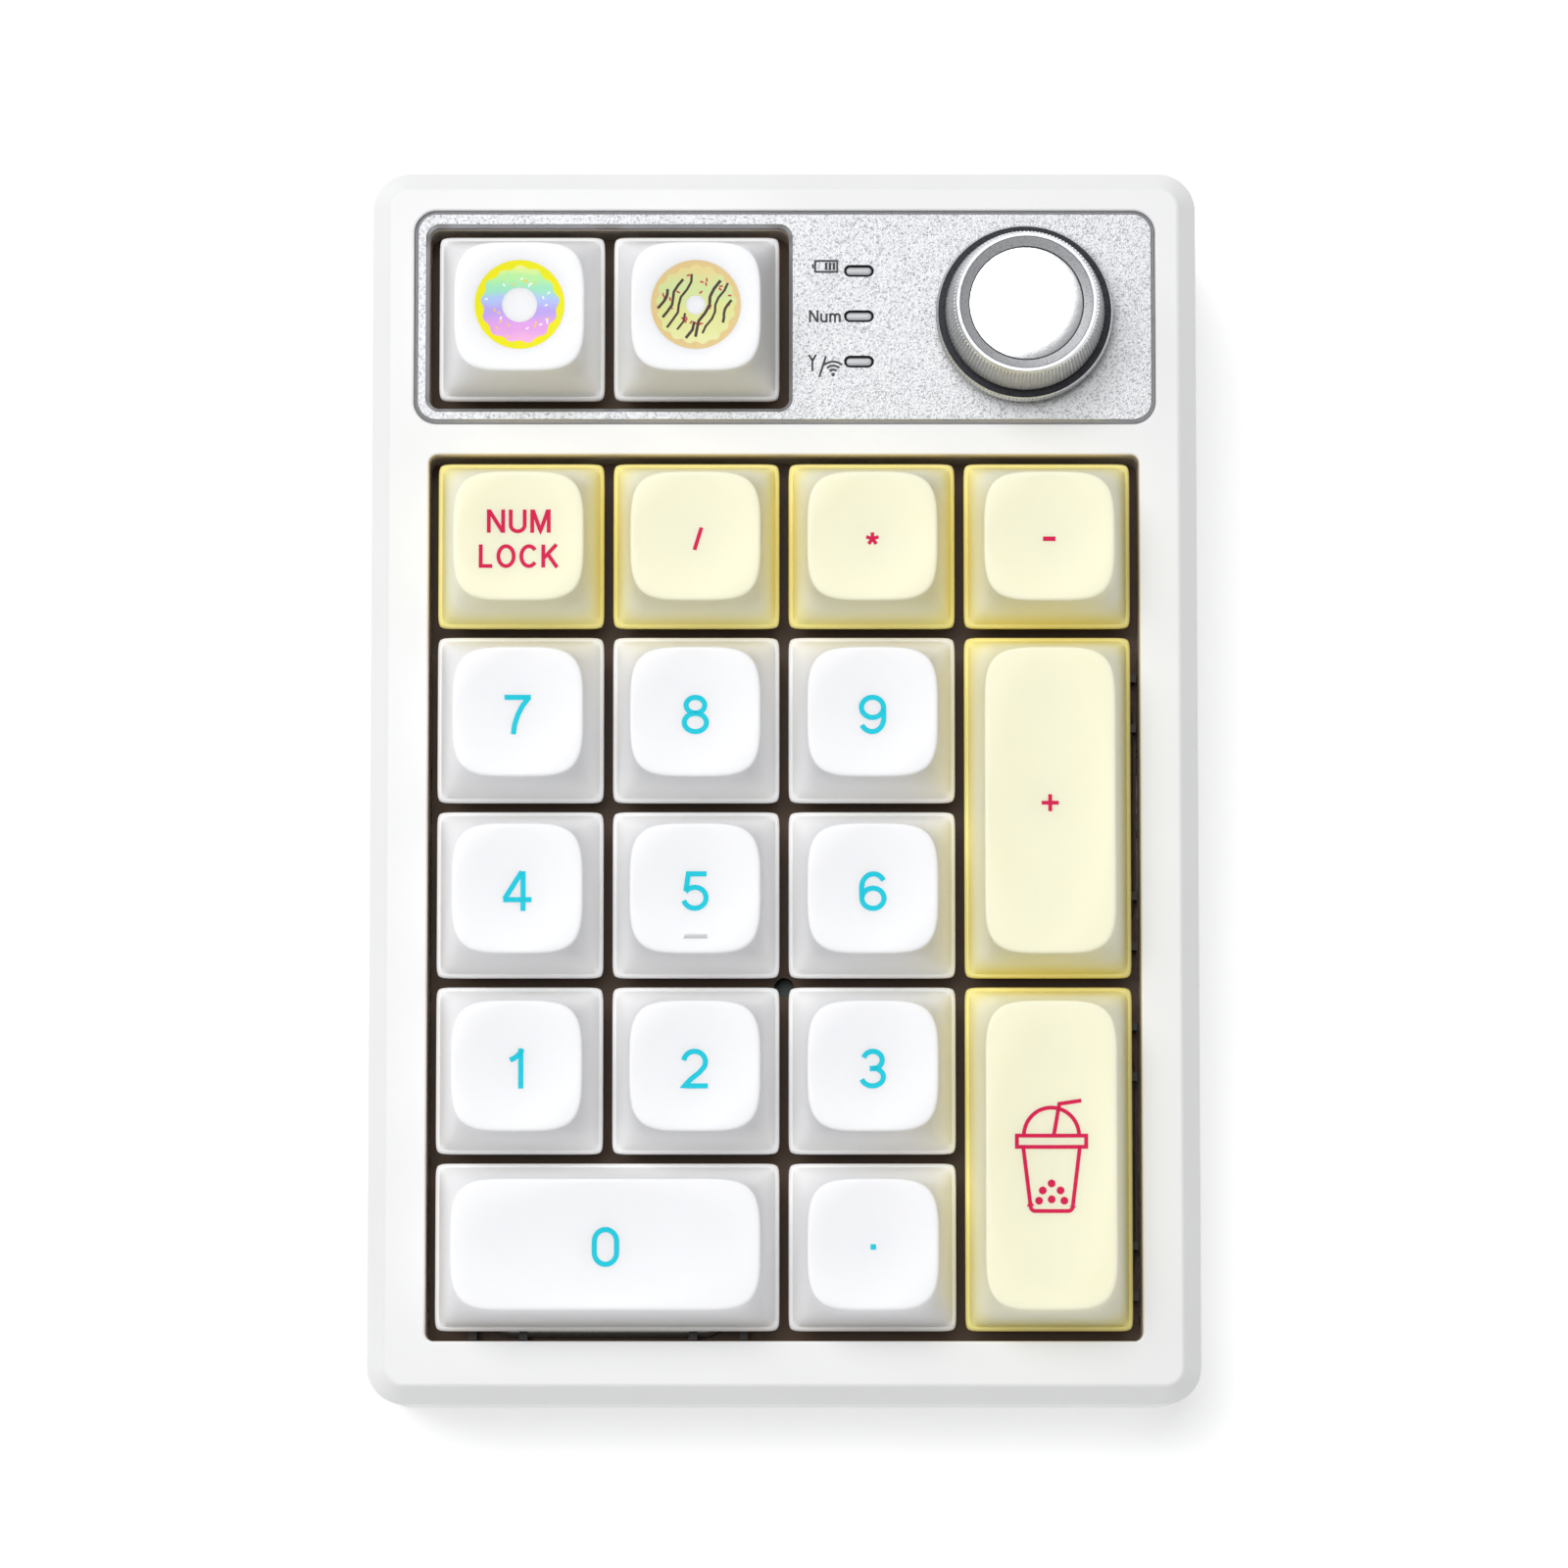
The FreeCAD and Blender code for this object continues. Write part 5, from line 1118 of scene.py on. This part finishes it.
def helixTree(material):  # a round wire wound at an even pitch
    tree, given, out = nodeTree("springHelix", (("Turns", "Float"), ("Radius", "Float"),
                                                ("Height", "Float"), ("Wire", "Float")))
    helix = growNode(tree, "GeometryNodeCurveSpiral", {}, {"Resolution": 20},
                     {"Rotations": given.outputs["Turns"], "Start Radius": given.outputs["Radius"],
                      "End Radius": given.outputs["Radius"], "Height": given.outputs["Height"]})
    section = growNode(tree, "GeometryNodeCurvePrimitiveCircle", {}, {"Resolution": 8},
                       {"Radius": given.outputs["Wire"]})
    wire = growNode(tree, "GeometryNodeCurveToMesh", {}, {"Fill Caps": True},
                    {"Curve": helix.outputs["Curve"], "Profile Curve": section.outputs["Curve"]})
    real = growNode(tree, "GeometryNodeRealizeInstances", {}, {}, {"Geometry": wire.outputs["Mesh"]})
    dressed = growNode(tree, "GeometryNodeSetMaterial", {}, {"Material": material},
                       {"Geometry": real.outputs["Geometry"]})
    tree.links.new(dressed.outputs["Geometry"], out.inputs["Geometry"])
    return tree


# the knob: turned from bar, knurled on its flange and cone

knobLow, knobHigh = deckBox("knob")
knob = {
    "flange": (knobHigh.x - knobLow.x) / 2,
    "height": knobHigh.z - knobLow.z,
    "flangeTop": 1.9,
    "groove": 8.2,
    "cone": (8.65, 2.35, 7.75, 8.1),  # radius and height at its foot, then at its shoulder
    "rim": (7.55, 7.12),
    "dish": (6.1, 7.6),
    "ribPitch": 0.42,  # drawn coarser than a real fine knurl, so that it shows
    "rib": 0.2,
    "bore": (3.0, 6.6),
    "segments": 192,
}


def turnedKnob():
    coneR, coneZ, shoulderR, shoulderZ = knob["cone"]
    rimOut, rimIn = knob["rim"]
    dishR, dishZ = knob["dish"]
    boreR, boreZ = knob["bore"]
    top, edge = knob["height"], 0.15
    inside = knob["rib"] * 0.35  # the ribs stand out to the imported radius
    flange = knob["flange"] - inside
    # finish 1, the near-black groove finish on the flange, the groove and the step round the dish, is
    # painted shade
    profile = [  # radius, height, finish of the band that starts here
        (boreR, boreZ, 3), (boreR, 0, 3), (flange - edge, 0, 0), (flange, edge, 1),
        (flange, knob["flangeTop"] - edge, 0), (flange - edge, knob["flangeTop"], 1),
        (knob["groove"], knob["flangeTop"], 1), (knob["groove"], coneZ, 1), (coneR - edge, coneZ, 0),
        (coneR, coneZ + edge, 2), (shoulderR, shoulderZ, 0),
        (rimOut + 0.06, top - 0.08, 2), (rimOut, top, 2),
        (rimIn + 0.1, top, 2), (rimIn, top - 0.07, 4), (dishR + 0.12, dishZ + 0.06, 1), (dishR, dishZ, 3),
        (dishR - 0.1, dishZ + 0.03, 3), (dishR * 0.66, dishZ + 0.03, 3), (dishR * 0.33, dishZ + 0.03, 3),
        (0.02, dishZ + 0.03, 3),
    ]
    shape = bmesh.new()
    made = []
    for radius, height, tag in profile:
        ring = [(knobCentre.x + radius * math.cos(2 * math.pi * k / knob["segments"]),
                 knobCentre.y + radius * math.sin(2 * math.pi * k / knob["segments"]),
                 knobLow.z + height) for k in range(knob["segments"])]
        made.append([shape.verts.new(point) for point in ring])
    for (lower, upper), (radius, height, tag) in zip(zip(made, made[1:]), profile):
        for k in range(knob["segments"]):
            after = (k + 1) % knob["segments"]
            shape.faces.new((lower[k], lower[after], upper[after], upper[k])).material_index = tag
    shape.faces.new(made[-1]).material_index = 3
    shape.faces.new(list(reversed(made[0]))).material_index = 3
    bmesh.ops.recalc_face_normals(shape, faces=shape.faces)
    return pieceFrom(shape, "knobTurned", "knob", "turned_aluminium",
                     [finish["knurled"], finish["paintedShadeGroove"], finish["polished"], finish["turned"],
                      finish["innerCone"]], ["knob"], 25)


def knurls():
    coneR, coneZ, shoulderR, shoulderZ = knob["cone"]
    lean = math.atan2(coneR - shoulderR, shoulderZ - coneZ)
    tree = ribTree(finish["knurled"])
    rows = {
        "knobKnurl": {"Radius": (coneR + shoulderR) / 2 - knob["rib"] * 0.3,
                      "length": shoulderZ - coneZ - 0.45,
                      "height": (coneZ + shoulderZ) / 2 + 0.05, "slant": 0.0, "lean": -lean},
        "flangeKnurl": {"Radius": knob["flange"] - knob["rib"] * 0.65, "length": knob["flangeTop"] - 0.3,
                        "height": knob["flangeTop"] / 2, "slant": 0.55, "lean": 0.0},
    }
    for name, row in rows.items():
        count = round(2 * math.pi * row["Radius"] / knob["ribPitch"])
        size = (knob["rib"], knob["rib"], row["length"] / math.cos(row["slant"]))
        mesh = grownMesh(tree, {"Count": count, "Radius": row["Radius"], "Size": size,
                                "Lean": (row["slant"], row["lean"], 0)})
        place = Matrix.Translation((knobCentre.x, knobCentre.y, knobLow.z + row["height"]))
        mesh.transform(deckToFrame @ place)
        piece = bpy.data.objects.new(name, mesh)
        mesh.name = name
        bpy.context.scene.collection.objects.link(piece)
        rideOn(piece, "knob")


knobCentre = (knobLow + knobHigh) / 2
turnedKnob()
knurls()
print("knob turned and knurled")

# switch springs: one for each key

spring = {"turns": 5.0, "radius": 2.0, "wire": 0.16}


def springs():
    low, high = deckBox("switch_springs")
    wire = spring["wire"]
    height = high.z - low.z - 2 * wire
    tree = helixTree(finish["springSteel"])
    coil = grownMesh(tree, {"Turns": spring["turns"], "Radius": spring["radius"], "Height": height,
                            "Wire": wire})
    for name in keyNames:
        centre = middle("keycap_" + name)
        mesh = coil.copy()
        mesh.name = "spring_" + name
        mesh.transform(deckToFrame @ Matrix.Translation((centre.x, centre.y, low.z + wire)))
        piece = bpy.data.objects.new("spring_" + name, mesh)
        bpy.context.scene.collection.objects.link(piece)
        rideOn(piece, "root", ["switch_springs"])
        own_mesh(piece)
    bpy.data.meshes.remove(coil)


springs()
print("springs wound")

# the imported parts that keep their shape get their finishes; the plate's brown-grey is painted shade

dressing = {
    "switch_plate": "paintedShadePlate",
    "circuit_board": "board",
    "encoder_body": "steel",
    "encoder_rotor": "blackPlastic",
    "encoder_shaft": "steel",
    "battery_pack": "foil",
    "usb_c_socket": "steel",
    "rubber_feet": "rubber",
    "case_screws": "blackSteel",
    "switch_lower_housings": "darkHousing",
    "switch_upper_housings": "clearHousing",
    "stabiliser_housings": "darkHousing",
    "mode_switch_slider": "blackPlastic",
}
for node in nodes:
    if node.startswith("switch_stem_"):
        dressing[node] = "redStem"
    if node.startswith("stabiliser_wire_"):
        dressing[node] = "steel"
for node, kind in dressing.items():
    nodes[node].data.materials.clear()
    nodes[node].data.materials.append(finish[kind])
print("packed parts dressed:", len(dressing))

# floor, light and camera

studio = {"target": (0, 0, 6.0), "lean": 11.8, "distance": 800.0, "view": 170.3}

floorMesh = bpy.data.meshes.new("floor")
floorMesh.from_pydata([(-3, -3, 0), (3, -3, 0), (3, 3, 0), (-3, 3, 0)], [], [(0, 1, 2, 3)])
floor = bpy.data.objects.new("floor", floorMesh)
bpy.context.scene.collection.objects.link(floor)
paper = mouldedPlastic("matt_white_paper", "#F4F4F4", "#F2F2F2", 0.9, 1.2, 0.01)
paper.node_tree.nodes["Principled BSDF"].inputs["Emission Color"].default_value = (1, 1, 1, 1)
paper.node_tree.nodes["Principled BSDF"].inputs["Emission Strength"].default_value = 0.36
floorMesh.materials.append(paper)

world = bpy.data.worlds.new("softSurround")
world.use_nodes = True
world.node_tree.nodes["Background"].inputs["Color"].default_value = linearColour("#F2F3F5")
world.node_tree.nodes["Background"].inputs["Strength"].default_value = 0.36
bpy.context.scene.world = world


def softLight(name, place, size, energy):
    data = bpy.data.lights.new(name, "AREA")
    data.shape = "SQUARE"
    data.size = size
    data.energy = energy
    light = bpy.data.objects.new(name, data)
    light.location = place
    light.rotation_euler = (-Vector(place)).to_track_quat("-Z", "Y").to_euler()
    bpy.context.scene.collection.objects.link(light)


softLight("keyLight", (-0.4, 0.34, 1.93), 1.4, 27.0)
softLight("sideLight", (-1.0, 0.65, 1.75), 1.6, 8.0)

cameraData = bpy.data.cameras.new("camera")
cameraData.sensor_width = 36
cameraData.lens = cameraData.sensor_width * studio["distance"] / studio["view"]
camera = bpy.data.objects.new("camera", cameraData)
lean = math.radians(studio["lean"])
target = deckToFrame @ Vector(studio["target"])
camera.location = target + studio["distance"] * millimetre * Vector((0, -math.sin(lean), math.cos(lean)))
camera.rotation_euler = (lean, 0, 0)
cameraData.clip_end = 10
bpy.context.scene.collection.objects.link(camera)
bpy.context.scene.camera = camera
bpy.context.scene.view_settings.view_transform = "Standard"
print("studio ready")
